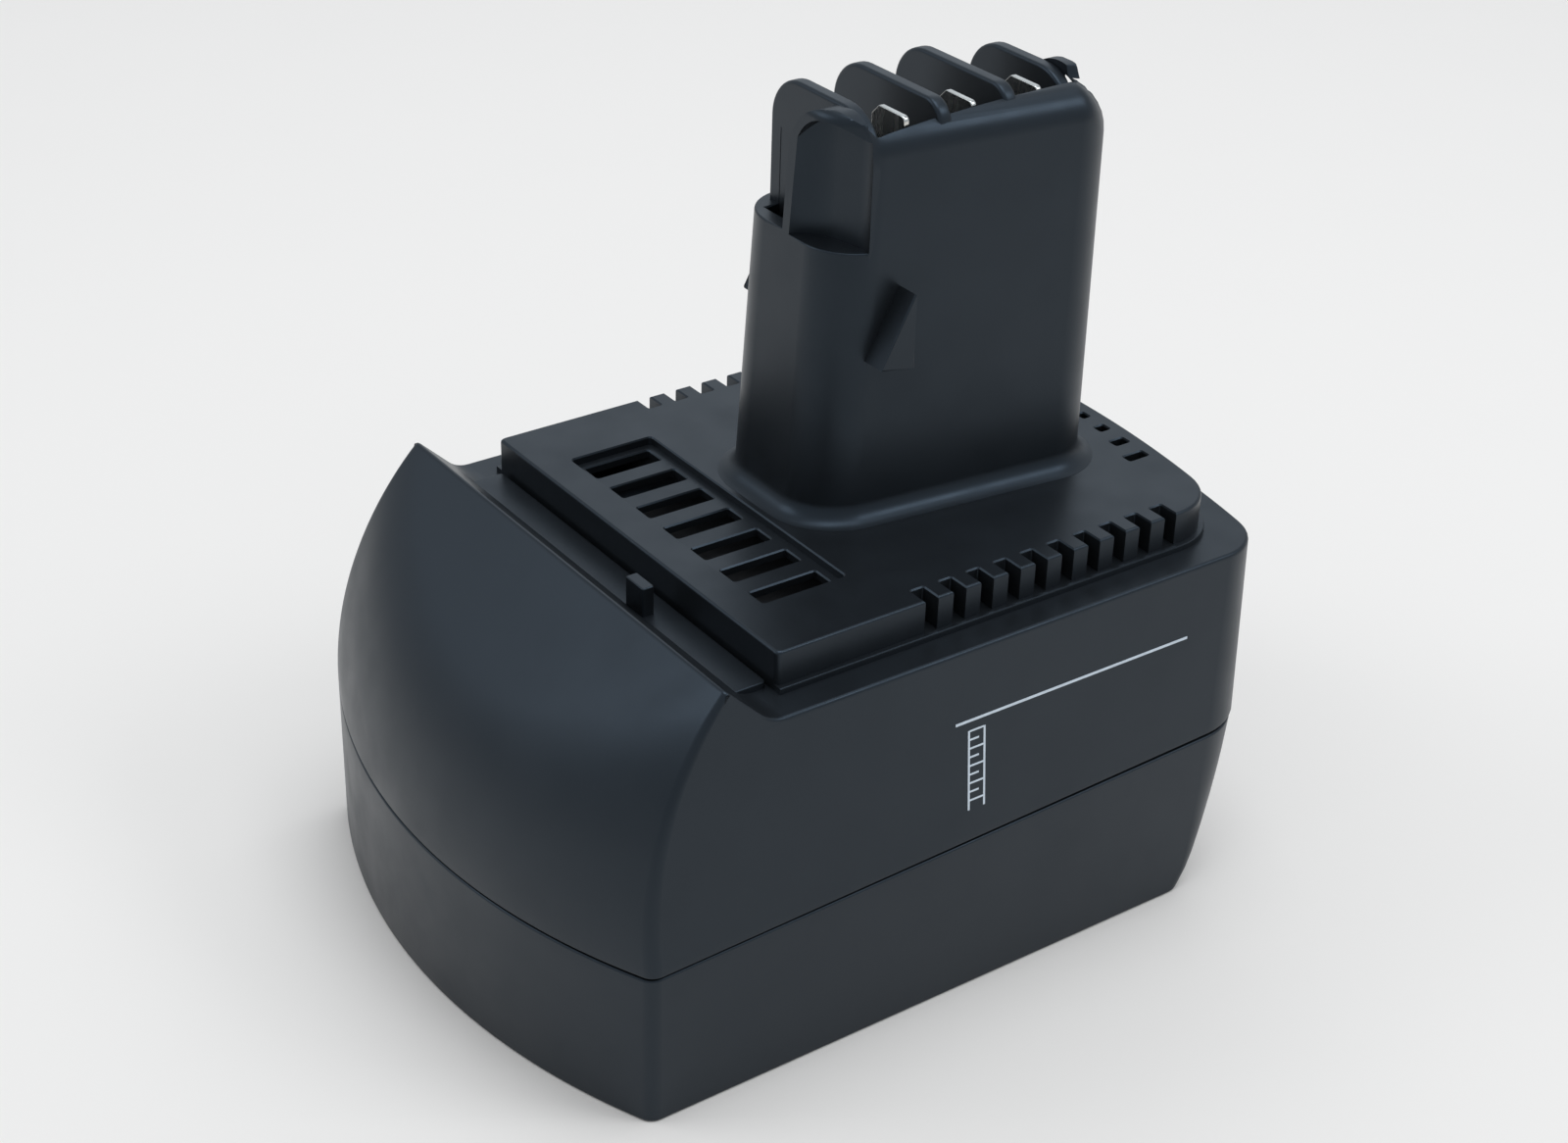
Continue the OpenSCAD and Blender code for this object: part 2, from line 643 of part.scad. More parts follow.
module upper_housing() {
    color("#23272c") difference() {
        union() {
            difference() {
                union() {
                    difference() {
                        upper_space(0, parting_z - 4, step_z);
                        upper_space(wall, parting_z - 5, roof_z);
                        intersection() {
                            upper_space(wall / 2, parting_z - 5, roof_z);
                            below_parting(tongue_h + fit_gap);
                        }
                    }
                    lip_block();
                    translate([0, 0, roof_z]) linear_extrude(deck_z - roof_z) deck_outline(0);
                }
                translate([0, 0, roof_z - 1]) linear_extrude(deck_roof_z - roof_z + 1) deck_outline(wall);
            }
            translate([key_x - key_w / 2, -key_y, trough_z - 0.5]) cube([key_w, key_t, key_h + 0.5]);
            for (p = screw_at)
                translate([p[0], p[1], parting_z - 5])
                    cylinder(h = (p[1] < 0 ? roof_z : deck_roof_z) - parting_z + 6, d = boss_d);
            intersection() {
                tower_solid();
                along_y(-far, far) head_profile();
            }
            for (s = [-1, 1]) side_catch(s);
        }
        below_parting(parting_gap / 2);
        for (p = screw_at)
            translate([p[0], p[1], 0]) cylinder(h = screw_seat_z + screw_l + 1, d = screw_d + 2 * screw_gap);
        tower_hollow();
        head_cuts();
        deck_vents();
    }
}

// Large leaning cylinder that follows the crown of the back, through a place at a height
module back_cylinder(lean, y, z, inset) {
    translate([0, y, z]) rotate([-lean, 0, 0]) translate([0, -back_crown_r, -far])
        cylinder(h = 2 * far, r = back_crown_r - inset, $fn = 180);
}

// Space of the tray, drawn in by a wall, between two heights
module tray_space(inset, z0, z1) {
    mid = parting_z / 2;
    intersection() {
        translate([0, 0, z0]) linear_extrude(z1 - z0) base_outline(inset, false);
        back_cylinder(tray_lean_high, half_l - tray_set, parting_at(half_l), inset);
        back_cylinder(tray_lean_low, half_l - tray_set - mid * tan(tray_lean_high), mid, inset);
    }
}

module base_tray() {
    color("#202429") difference() {
        union() {
            difference() {
                tray_space(0, 0, parting_z + 6);
                tray_space(wall, floor_t, parting_z + 7);
                above_parting(-parting_gap / 2);
            }
            difference() {
                tray_space(tongue_inset, parting_z - 4 * tongue_h, parting_z + 3 * tongue_h);
                tray_space(wall, parting_z - 5 * tongue_h, parting_z + 4 * tongue_h);
                above_parting(tongue_h);
            }
            for (p = screw_at)
                translate([p[0], p[1], floor_t / 2])
                    cylinder(h = parting_at(p[1]) - floor_t / 2 + 3, d = boss_d);
        }
        for (p = screw_at) {
            translate([p[0], p[1], -1]) cylinder(h = screw_seat_z + 1, d = screw_head_d + 2 * head_gap);
            translate([p[0], p[1], 0]) cylinder(h = far, d = screw_d + 2 * screw_gap);
            intersection() {
                translate([p[0], p[1], 0]) cylinder(h = far, d = boss_d + 2);
                above_parting(-parting_gap / 2);
            }
        }
    }
}

module case_screws() {
    color("#9aa0a6") for (p = screw_at) translate([p[0], p[1], screw_seat_z]) {
        difference() {
            translate([0, 0, -screw_head_h]) cylinder(h = screw_head_h, d = screw_head_d);
            translate([0, 0, -screw_head_h - 1]) cylinder(h = screw_head_h, d = drive_w, $fn = 6);
        }
        translate([0, 0, -eps]) cylinder(h = screw_l - 2 + eps, d = screw_d);
        translate([0, 0, screw_l - 2]) cylinder(h = 2, d1 = screw_d, d2 = 0.8);
    }
}

module contact_carrier() {
    color("#3a3f45") difference() {
        translate([carrier_x0, carrier_y0, carrier_z])
            cube([blade_x1 + 0.15 - carrier_x0, carrier_y1 - carrier_y0, carrier_t]);
        for (y = blade_y)
            translate([blade_x0 - fit_gap, y - blade_t / 2 - fit_gap, carrier_z - 1])
                cube([blade_w + 2, blade_t + 2 * fit_gap, carrier_t + 2]);
    }
}

// One blade with its foot
module blade(i) {
    color("#c9ccd0") {
        along_y(blade_y[i] - blade_t / 2, blade_y[i] + blade_t / 2) {
            translate([blade_x0, foot_z]) square([blade_w, blade_z - blade_r - foot_z]);
            translate([blade_x0 + blade_r, blade_z - blade_r - 1]) square([blade_w - 2 * blade_r, blade_r + 1]);
            for (x = [blade_x0 + blade_r, blade_x1 - blade_r])
                translate([x, blade_z - blade_r]) circle(blade_r, $fn = 48);
        }
        translate([carrier_x0, blade_y[i] - strap_w / 2, foot_z])
            cube([blade_x1 - carrier_x0, strap_w, foot_t]);
    }
}

module blade_negative() { blade(0); }
module blade_sensor() { blade(1); }
module blade_positive() { blade(2); }

// One cell with its cap up or down, standing on the origin
module cell(cap_up) {
    color("#b7bcc2") translate([0, 0, cap_up ? 0 : cell_h]) mirror([0, 0, cap_up ? 0 : 1])
        rotate_extrude() polygon([[0, 0], [can_d / 2 - 0.8, 0], [can_d / 2, 0.8],
            [can_d / 2, cell_h - cap_h - 3.4], [can_d / 2 - 0.7, cell_h - cap_h - 2.8],
            [can_d / 2 - 0.7, cell_h - cap_h - 2.2], [can_d / 2, cell_h - cap_h - 1.6],
            [can_d / 2, cell_h - cap_h - 0.5], [can_d / 2 - 0.5, cell_h - cap_h],
            [cap_d / 2, cell_h - cap_h], [cap_d / 2, cell_h - 0.3], [cap_d / 2 - 0.3, cell_h], [0, cell_h]]);
}

// The cell at a place in the chain; the chain turns over at each link
module base_cell(i) {
    translate([cell_at[i][0], cell_at[i][1], cell_z]) cell(i % 2 == 0);
}

module cell_1() { base_cell(0); }
module cell_2() { base_cell(1); }
module cell_3() { base_cell(2); }
module cell_4() { base_cell(3); }
module cell_5() { base_cell(4); }
module cell_6() { base_cell(5); }
module cell_7() { base_cell(6); }
module cell_8() { base_cell(7); }
module cell_9() { base_cell(8); }
module tower_cell() { translate([0, tower_cell_y, tower_cell_z]) cell(true); }

// Shrunk film around one cell, clear of both of its ends
module film() {
    translate([0, 0, cap_h + 0.6]) difference() {
        cylinder(h = cell_h - 2 * cap_h - 1.2, r = film_r);
        translate([0, 0, -1]) cylinder(h = cell_h, r = can_d / 2 + film_gap);
    }
}

module cell_films() {
    color("#3d7a56") {
        for (p = cell_at) translate([p[0], p[1], cell_z]) film();
        translate([0, tower_cell_y, tower_cell_z]) film();
    }
}

// Flat strip from one place to another, both along X or along Y
module link(a, b, z) {
    w = link_w / 2;
    translate([min(a[0], b[0]) - w, min(a[1], b[1]) - w, z])
        cube([abs(a[0] - b[0]) + link_w, abs(a[1] - b[1]) + link_w, link_t]);
}

module top_links() {
    color("#c9ccd0") for (i = [0, 2, 4, 6]) link(cell_at[i], cell_at[i + 1], cell_top);
}

module bottom_links() {
    color("#c9ccd0") {
        for (i = [1, 3, 5, 7]) link(cell_at[i], cell_at[i + 1], low_link_z);
        link(cell_at[0], [cell_at[0][0], strap_y + link_w / 2], low_link_z);
    }
}

// Tab from the cap of the last base cell to the bottom of the tower cell
module tower_link() {
    w = 6;
    y1 = cell_at[5][1] - film_r - 0.4;
    y0 = tower_cell_y - can_d / 2 + 0.6;
    color("#c9ccd0") {
        translate([-w / 2, cell_at[8][1] - w / 2, cell_top]) cube([w, y1 - cell_at[8][1] + w / 2, link_t]);
        translate([-w / 2, y0, cell_top]) cube([w, y1 - y0, tower_cell_z - cell_top]);
    }
}

module positive_strap() {
    w = strap_w;
    x0 = carrier_x0 - 1.2;
    y0 = tower_cell_y - 1.5;
    color("#c9ccd0") {
        translate([x0, y0, plus_z]) cube([cap_d / 2 - 0.5 - x0, w, strap_leaf]);
        translate([x0, y0, plus_z]) cube([strap_leaf, w, foot_z - plus_z]);
        translate([x0, y0, foot_z - strap_leaf]) cube([strap_foot, w, strap_leaf]);
    }
}

module negative_strap() {
    w = strap_w;
    x0 = cell_at[0][0] - w / 2;
    y0 = strap_y;
    x1 = -well_half + 1.4;
    yr = carrier_y0 - 0.8;
    color("#2b2f36") {
        translate([x0, y0, cell_z]) cube([w, strap_t, strap_z + strap_t - cell_z]);
        translate([x0, y0, strap_z]) cube([w, yr + 8.4 - y0, strap_t]);
        translate([x0, yr, strap_z]) cube([x1 - x0, 8.4, strap_t]);
        translate([x1 - strap_t, carrier_y0, strap_z])
            cube([strap_t, yr + 8.4 - carrier_y0, foot_z - strap_leaf - strap_z]);
        translate([x1 - strap_t, blade_y[0] - 2.4, foot_z - strap_leaf]) cube([4, 4, strap_leaf]);
    }
}

module sensor_strap() {
    w = 2.5;
    x1 = well_half - 1.1;
    x0 = x1 - strap_t;
    y0 = cut_y + 0.9;
    yf = blade_y[1] - 1;
    color("#2b2f36") {
        translate([x0, y0, strap_z]) cube([cut_x - x0, w, link_t]);
        translate([x0, y0, strap_z]) cube([strap_t, w, plus_z + strap_leaf - strap_z]);
        translate([x0 - strap_foot, y0, plus_z]) cube([strap_foot + strap_t, yf - y0, strap_leaf]);
        translate([x0 - strap_foot, yf - strap_leaf, plus_z])
            cube([strap_foot + strap_t, strap_leaf, foot_z - plus_z]);
    }
}

module ground_strap() {
    x0 = -well_half + 1.4;
    color("#2b2f36") translate([x0, post_y, strap_z]) cube([cut_x - x0, post_w, link_t]);
}

// Card over or under the cell block
module block_card(z) {
    x = cell_px + film_r;
    translate([-x, rows[0] - film_r, z]) cube([2 * x, card_y1 - rows[0] + film_r, card_t]);
}

module bottom_card() { color("#c8a46a") block_card(low_card_z); }

module top_card() {
    y0 = tower_cell_y - can_d / 2 - 0.2;
    color("#c8a46a") difference() {
        block_card(top_card_z);
        translate([-3.4, y0, top_card_z - 1]) cube([6.8, cell_at[5][1] - film_r - y0 + 0.2, 3]);
    }
}

module tower_card() {
    y0 = blade_y[1] - 0.6;
    color("#c8a46a") translate([carrier_x0 - 0.8, y0, card2_z])
        cube([blade_x1 - carrier_x0 + 0.6, carrier_y1 - y0 - 0.2, card_t]);
}

module base_pad() {
    x = cell_px + film_r;
    color("#4a4f55") translate([-x, rows[0] - film_r, pad_z])
        cube([2 * x, card_y1 - rows[0] + film_r, pad_t]);
}

// Foam block that fills the crown in front of the cells
module front_pad() {
    x0 = cell_at[0][0] + strap_w;
    y1 = rows[0] - film_r - 0.3;
    y0 = -half_l + front_pad_gap;
    color("#4a4f55") translate([x0, y0, floor_t + 0.1]) cube([cell_at[2][0] - x0, y1 - y0, front_pad_h]);
}

// Foam strips between the card and the roof under the side steps
module top_pad() {
    z = top_card_z + card_t;
    color("#4a4f55") for (s = [0, 1]) mirror([s, 0, 0])
        translate([deck_half - wall + 0.6, rows[0] - film_r / 2, z])
            cube([pad_strip_w, rows[2] - rows[0] + film_r, roof_z - z - 0.1]);
}

module row_dividers() {
    x = cell_px + film_r - 1;
    color("#3a3f45") for (i = [0, 1])
        translate([-x, (rows[i] + rows[i + 1]) / 2 - divider_t / 2, cell_z]) cube([2 * x, divider_t, cell_h - divider_drop]);
}

module cutout_case() {
    color("#1d2023") difference() {
        translate([cut_x, cut_y, cut_z]) cube([cut_l, cut_w, cut_rim_z - cut_z]);
        translate([cut_x + cut_wall, cut_y + cut_wall, cut_floor_z])
            cube([cut_l - 2 * cut_wall, cut_w - 2 * cut_wall, far]);
        translate([cut_x - 1, cut_y + cut_wall, cut_floor_z]) cube([3, strip_w + 0.1, leaf_t + 0.05]);
        translate([cut_x - 1, post_y - 0.05, cut_floor_z]) cube([3, post_w + 0.1, leaf_t + 0.05]);
    }
}

module cutout_cover() {
    color("#1d2023") translate([cut_x, cut_y, cut_rim_z]) cube([cut_l, cut_w, cover_t]);
}

module cutout_disc() {
    color("#a8894f") translate([arm_x + 5, cut_mid, cut_floor_z]) cylinder(h = leaf_t, r = disc_r);
}

module cutout_fixed() {
    x1 = arm_x + arm_l - 0.2;
    color("#b98b4e") {
        translate([cut_x, cut_y + cut_wall + 0.05, cut_floor_z]) cube([x1 - cut_x, strip_w, leaf_t]);
        translate([x1 - 2.2, cut_y + cut_wall + 0.05, cut_floor_z]) cube([2.2, cut_mid + 0.9 - cut_y - cut_wall, leaf_t]);
        translate([x1 - 1.1, cut_mid, cut_floor_z]) cylinder(h = leaf_t + dome_h, r = 0.9);
    }
}

// Strip with a cheek whose pin carries the switch arm
module cutout_post() {
    cheek_y = cut_mid + arm_w / 2 + pin_gap;
    color("#b98b4e") {
        translate([cut_x, post_y, cut_floor_z]) cube([arm_x - cut_x, post_w, leaf_t]);
        translate([arm_x - eye_r, cheek_y, cut_floor_z])
            cube([2 * eye_r, post_y + post_w - cheek_y, hinge_z + eye_r - cut_floor_z]);
        along_y(cut_mid - arm_w / 2, cheek_y + pin_gap) translate([arm_x, hinge_z]) circle(r = pin_r);
    }
}

// Switch arm with a rolled eye around the pin
module cutout_arm() {
    x1 = arm_x + arm_l - 0.2;
    x0 = arm_x + (pin_r + pin_fit + eye_r) / 2;
    color("#b98b4e") {
        along_y(cut_mid - arm_w / 2, cut_mid + arm_w / 2) translate([arm_x, hinge_z]) difference() {
            circle(r = eye_r);
            circle(r = pin_r + pin_fit);
        }
        translate([x0, cut_mid - arm_w / 2, arm_z]) cube([arm_x + arm_l - x0, arm_w, leaf_t]);
        translate([x1 - 1.1, cut_mid, cut_floor_z + leaf_t + dome_h + contact_gap])
            cylinder(h = arm_z - cut_floor_z - leaf_t - dome_h - contact_gap + leaf_t / 2, r = 0.8);
    }
}

upper_housing();
base_tray();
case_screws();
contact_carrier();
blade_negative();
blade_sensor();
blade_positive();
cell_1();
cell_2();
cell_3();
cell_4();
cell_5();
cell_6();
cell_7();
cell_8();
cell_9();
tower_cell();
cell_films();
top_links();
bottom_links();
tower_link();
positive_strap();
negative_strap();
sensor_strap();
ground_strap();
bottom_card();
top_card();
tower_card();
base_pad();
front_pad();
top_pad();
row_dividers();
cutout_case();
cutout_cover();
cutout_disc();
cutout_fixed();
cutout_post();
cutout_arm();
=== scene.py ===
from math import acos, atan2, cos, pi, radians, sin, sqrt, tan

import bmesh
import bpy
from mathutils import Matrix, Vector


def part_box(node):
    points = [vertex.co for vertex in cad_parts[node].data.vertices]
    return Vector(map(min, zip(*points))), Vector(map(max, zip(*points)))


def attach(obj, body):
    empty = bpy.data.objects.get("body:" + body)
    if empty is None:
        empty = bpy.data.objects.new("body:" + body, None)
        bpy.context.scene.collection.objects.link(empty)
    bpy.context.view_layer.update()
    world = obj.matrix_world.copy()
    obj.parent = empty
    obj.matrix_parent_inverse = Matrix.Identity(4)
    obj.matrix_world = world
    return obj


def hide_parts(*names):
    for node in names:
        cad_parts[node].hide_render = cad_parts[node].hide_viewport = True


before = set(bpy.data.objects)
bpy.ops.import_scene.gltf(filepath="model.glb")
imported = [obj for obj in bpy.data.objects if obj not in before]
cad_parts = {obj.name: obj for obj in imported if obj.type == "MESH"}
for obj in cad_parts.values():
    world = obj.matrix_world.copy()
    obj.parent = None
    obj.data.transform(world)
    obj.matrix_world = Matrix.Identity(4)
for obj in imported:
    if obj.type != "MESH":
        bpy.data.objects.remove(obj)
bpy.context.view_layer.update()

bl_info = {
    "name": "Tool Battery Pack",
    "version": (1, 0, 0),
    "blender": (4, 5, 0),
    "location": "View3D > Sidebar > Battery Pack",
    "description": "Dresses a slide-in battery pack for a cordless tool: housing, contacts, screws and stage",
    "category": "Add Mesh",
}

MM = 0.001
HOUSING_LOW, HOUSING_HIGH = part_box("upper_housing")
BLADES = ("blade_negative", "blade_sensor", "blade_positive")
BLADE_WIDTH = 6.3 * MM
BLADE_HALF = 0.4 * MM
SCREW_HOLE = 1.6 * MM

# Ends of the cutters that shape the head, all outside the tower
CUT_OPEN = -30 * MM
CUT_FRONT = -15 * MM
CUT_BACK = 55 * MM
CUT_TOP = 120 * MM


# Settings that a user can change

def length(name, size, text):
    """A length in metres, given here in millimetres."""
    return bpy.props.FloatProperty(
        name=name, description=text, default=size * MM, unit="LENGTH", precision=5)


def angle(name, degrees, text):
    """An angle, given here in degrees."""
    return bpy.props.FloatProperty(
        name=name, description=text, default=radians(degrees), subtype="ANGLE")


def colour(name, rgb, text):
    """A colour of a finish, in linear light."""
    return bpy.props.FloatVectorProperty(
        name=name, description=text, default=rgb, size=3, min=0.0, max=1.0, subtype="COLOR")


class BaseSettings(bpy.types.PropertyGroup):
    """Sizes of the crowned base: the upper housing below its deck, and the tray"""

    half_width: length("Half width", HOUSING_HIGH[0] / MM, "Half the width at the parting line")
    half_length: length("Half length", -HOUSING_LOW[1] / MM, "Reach of the crowned front from the centre")
    crown_radius: length("Crown radius", 89.0, "Radius of the crowned front, seen from above")
    back_crown: length("Back crown", 150.0, "Radius of the crowned back, seen from above")
    back_corner: length("Back corner", 10.0, "Radius of the two back corners, seen from above")
    front_corner: length("Front corner", 2.2, "Radius of the two soft front corners, seen from above")
    lip_corner: length("Lip corner", 0.9, "Radius of the front corners at the height of the lip")
    parting_height: length("Parting height", 22.7, "Height of the parting line half way along the base")
    parting_tilt: angle("Parting tilt", 1.8, "Rise of the parting line towards the back")
    parting_gap: length("Parting gap", 0.24, "Gap between the two mouldings")
    parting_edge: length("Parting edge", 0.3, "Softened edge on both sides of the parting line")
    side_draft: angle("Side draft", 5.4, "Inward lean of the sides above the parting line")
    wall: length("Wall", 2.2, "Wall thickness of both mouldings")
    floor: length("Floor", 2.0, "Thickness of the floor of the tray")
    tray_set: length("Tray set-back", 0.5, "Set-back of the tray under the upper housing at the back")
    tray_edge: length("Tray edge", 0.4, "Radius of the lower edge of the tray")
    boss: length("Boss", 3.7, "Radius of a screw boss")
    tongue: length("Tongue", 2.0, "Height of the tongue on the rim of the tray")


class DeckSettings(bpy.types.PropertyGroup):
    """Sizes of the lip, the trough and the vented deck"""

    lip: length("Lip", 33.3, "Distance of the lip from the centre")
    lip_height: length("Lip height", 55.0, "Height of the lip")
    face_lean: angle("Face lean", 45.0, "Lean of the face under the lip, from upright")
    face_blend: length("Face blend", 30.0, "Radius of the soft turn of the front, in the middle of the width")
    step_height: length("Step height", 49.2, "Height of the step around the deck")
    scoop: length("Scoop", 4.5, "Radius of the hollow turn from the step up to the lip")
    edge: length("Edge", 0.45, "Radius along the edges of the step and the lip")
    trough_height: length("Trough height", 50.1, "Height of the floor of the trough")
    trough_half: length("Trough half length", 30.2, "Half the length of the floor of the trough")
    trough_gap: length("Trough gap", 0.4, "Thin groove between the floor of the trough and the deck")
    skirt: length("Deck skirt", 0.8, "Width and height of the narrow ledge around the foot of the deck")
    height: length("Deck height", 54.4, "Height of the deck that carries the tower")
    half_width: length("Deck half width", 31.6, "Half the width of the deck")
    front: length("Deck front", 23.4, "Distance of the front wall of the deck from the centre")
    back_step: length("Back step", 5.0, "Width of the step behind the deck")
    corner: length("Deck corner", 8.0, "Radius of the two back corners of the deck")
    rim: length("Deck rim", 0.4, "Radius along the upper edge of the deck")
    slot_edge: length("Slot edge", 0.18, "Softened edge around slots and notches")
    grille_pitch: length("Grille pitch", 6.22, "Pitch of the slots in the grille")
    grille_slot: length("Grille slot width", 3.2, "Width of a slot in the grille")
    grille_length: length("Grille slot length", 9.7, "Length of a slot in the grille")
    grille_middle: length("Grille middle", 12.35, "Distance of the middle of the grille from the centre")
    grille_margin: length("Grille margin", 1.25, "Margin of the sunk field around the slots")
    grille_sink: length("Grille sink", 1.1, "Depth of the sunk field of the grille")
    notch_pitch: length("Notch pitch", 4.23, "Pitch of the notches along the sides")
    notch_width: length("Notch width", 1.95, "Width of a notch")
    notch_depth: length("Notch depth", 3.0, "Depth of a notch into the deck")
    notch_start: length("First notch", -1.9, "Front edge of the first notch, from the centre")


class TowerSettings(bpy.types.PropertyGroup):
    """Sizes of the tower and its contact head"""

    front: length("Tower front", -3.4, "Front of the foot of the tower, from the centre")
    back: length("Tower back", 39.9, "Back of the tower, from the centre")
    front_half: length("Front half width", 11.5, "Half the width of the foot near its front")
    back_half: length("Back half width", 14.6, "Half the width of the foot near its back")
    front_corner: length("Front corner", 7.3, "Radius of the front corners")
    back_corner: length("Back corner", 6.9, "Radius of the back corners")
    narrowing: bpy.props.FloatProperty(
        name="Narrowing", description="Share of the width lost at the top", default=0.06, subtype="FACTOR")
    shortening: bpy.props.FloatProperty(
        name="Shortening", description="Share of the length lost at the top", default=0.07, subtype="FACTOR")
    foot: length("Foot", 2.5, "Radius of the hollow turn at the foot of the tower")
    slot_floor: length("Slot floor", 93.3, "Height of the floor of the contact slots")
    fin_top: length("Fin top", HOUSING_HIGH[2] / MM, "Height of the fins between the contacts")
    fin_first: length("First fin", 4.0, "Middle of the first fin, from the centre")
    fin_pitch: length("Fin pitch", 10.05, "Pitch of the fins")
    fin_thickness: length("Fin thickness", 2.0, "Thickness of a fin")
    fin_corner: length("Fin corner", 5.5, "Radius of the open top corner of a fin")
    fin_blend: length("Fin blend", 3.2, "Radius of the top corner of a middle fin at the closed wall")
    fin_reach: bpy.props.FloatVectorProperty(
        name="Fin reach", description="Reach of each fin towards the open side, from the middle",
        default=(9.4 * MM, 10.5 * MM, 11.2 * MM, 9.0 * MM), size=4, unit="LENGTH", precision=5)
    fin_drop: bpy.props.FloatVectorProperty(
        name="Fin drop", description="How far the top of each fin lies below the highest one",
        default=(0.0, 0.0, 0.0, 0.6 * MM), size=4, unit="LENGTH", precision=5)
    fin_rim: length("Fin rim", 0.5, "Radius along the edges of a fin")
    wall_top: length("Wall top", 105.2, "Height of the closed side wall of the head")
    wall_inside: length("Wall inside", 9.8, "Inner face of the closed side wall, from the middle")
    wall_edge: length("Wall edge", 4.0, "Radius along the top of the closed side wall")
    wall_end: length("Wall end", 6.5, "Radius along the top of the wall at its back end")
    groove: length("Groove", 5.3, "Radius of the upright grooves")
    groove_middle: length("Groove middle", 6.1, "Middle of the grooves, along X")
    groove_side: length("Groove side", 4.2, "Radius of the shallow end of the grooves towards the closed side")
    groove_floor: length("Groove floor", 89.9, "Height of the floor of the grooves")
    groove_top: length("Groove top", 105.4, "Height of the arched top of the grooves")
    rim_front: length("Front rim edge", 1.4, "Radius along the top of the rim of the front groove")
    rim_back: length("Back rim edge", 4.5, "Radius along the top of the rim of the back groove")
    groove_rim: length("Groove rim", 1.2, "Thickness of the rim around a groove")
    corner_height: length("Corner height", 90.1, "Height of the cut-down corners of the head")
    catch_height: length("Catch height", 75.15, "Height of the foot of the catches")
    catch_rise: length("Catch rise", 10.85, "Height of a catch")
    catch_front: length("Catch front", 2.9, "Front tip of the catches, from the centre")
    catch_length: length("Catch length", 5.3, "Length of a catch along Y")
    catch_half: length("Catch half width", 14.6, "Half the width over both catches")


class FinishSettings(bpy.types.PropertyGroup):
    """Colours of the finishes"""

    housing: colour("Housing", (0.0088, 0.0095, 0.0104), "Slate-black moulded plastic")
    tray: colour("Tray", (0.0092, 0.0100, 0.0112), "Slate-black moulded plastic of the tray")
    nickel: colour("Nickel", (0.62, 0.61, 0.58), "Nickel-plated strip of the blades and links")
    steel: colour("Steel", (0.42, 0.43, 0.45), "Plain steel of the cans and screws")
    film: colour("Film", (0.06, 0.16, 0.30), "Shrink film around the cells")
    # Painted shade: the cards are coloured near-black so that the inside of the pack seen through the vents
    # looks shaded.
    card: colour("Card", (0.012, 0.012, 0.013), "Black insulating card")
    foam: colour("Foam", (0.055, 0.060, 0.066), "Grey foam")
    sleeve: colour("Sleeve", (0.018, 0.020, 0.024), "Insulated strap")
    carrier: colour("Carrier", (0.014, 0.015, 0.017), "Moulded contact carrier")
    brass: colour("Brass", (0.48, 0.30, 0.11), "Spring strip of the cut-out")
    marks: colour("Marks", (0.62, 0.68, 0.74), "Printed rule and ticks")
    ground: colour("Ground", (0.94, 0.86, 0.79), "Pale matt floor")
    light: colour("Light", (0.84, 0.92, 1.0), "Cool light of the studio")


SETTINGS = {
    "pack_base": BaseSettings,
    "pack_deck": DeckSettings,
    "pack_tower": TowerSettings,
    "pack_finish": FinishSettings,
}


def base():
    """The sizes of the base."""
    return bpy.context.scene.pack_base


def deck():
    """The sizes of the deck."""
    return bpy.context.scene.pack_deck


def tower():
    """The sizes of the tower."""
    return bpy.context.scene.pack_tower


def finish():
    """The colours of the finishes."""
    return bpy.context.scene.pack_finish


# Outlines

def rounded(corners, inset=0.0, steps=6):
    """An outline of corners (x, y, radius) that run anticlockwise, drawn in by an inset."""
    places = []
    count = len(corners)
    for i in range(count):
        here = Vector(corners[i][:2])
        before = (here - Vector(corners[i - 1][:2])).normalized()
        after = (Vector(corners[(i + 1) % count][:2]) - here).normalized()
        inward_before = Vector((-before.y, before.x))
        inward_after = Vector((-after.y, after.x))
        mitre = (inward_before + inward_after) / (1.0 + inward_before.dot(inward_after))
        point = here + inset * mitre
        if corners[i][2] == 0.0:
            places.append(point)
            continue
        side = 1.0 if before.cross(after) > 0 else -1.0
        radius = corners[i][2] - side * inset
        middle = point + side * radius * mitre
        first = -side * inward_before
        turn = first.angle_signed(-side * inward_after)
        for k in range(steps + 1):
            share = first.copy()
            share.rotate(Matrix.Rotation(-turn * k / steps, 2))
            places.append(middle + radius * share)
    return places


def arc(middle, radius, first, last, steps):
    """Places along an arc, with both ends."""
    turns = [first + (last - first) * k / steps for k in range(steps + 1)]
    return [Vector((middle[0] + radius * cos(t), middle[1] + radius * sin(t))) for t in turns]


def stood(outline, axis, place):
    """An outline set across an axis at a place: Y and Z across X, X and Z across Y, or X and Y across Z."""
    if axis == "X":
        return [Vector((place, p[0], p[1])) for p in outline]
    if axis == "Y":
        return [Vector((p[0], place, p[1])) for p in outline]
    return [Vector((p[0], p[1], place)) for p in outline]


# Modelling steps

def deselect():
    """Leaves nothing selected."""
    bpy.ops.object.select_all(action="DESELECT")


def activate(piece):
    """Selects one piece alone."""
    deselect()
    piece.select_set(True)
    bpy.context.view_layer.objects.active = piece


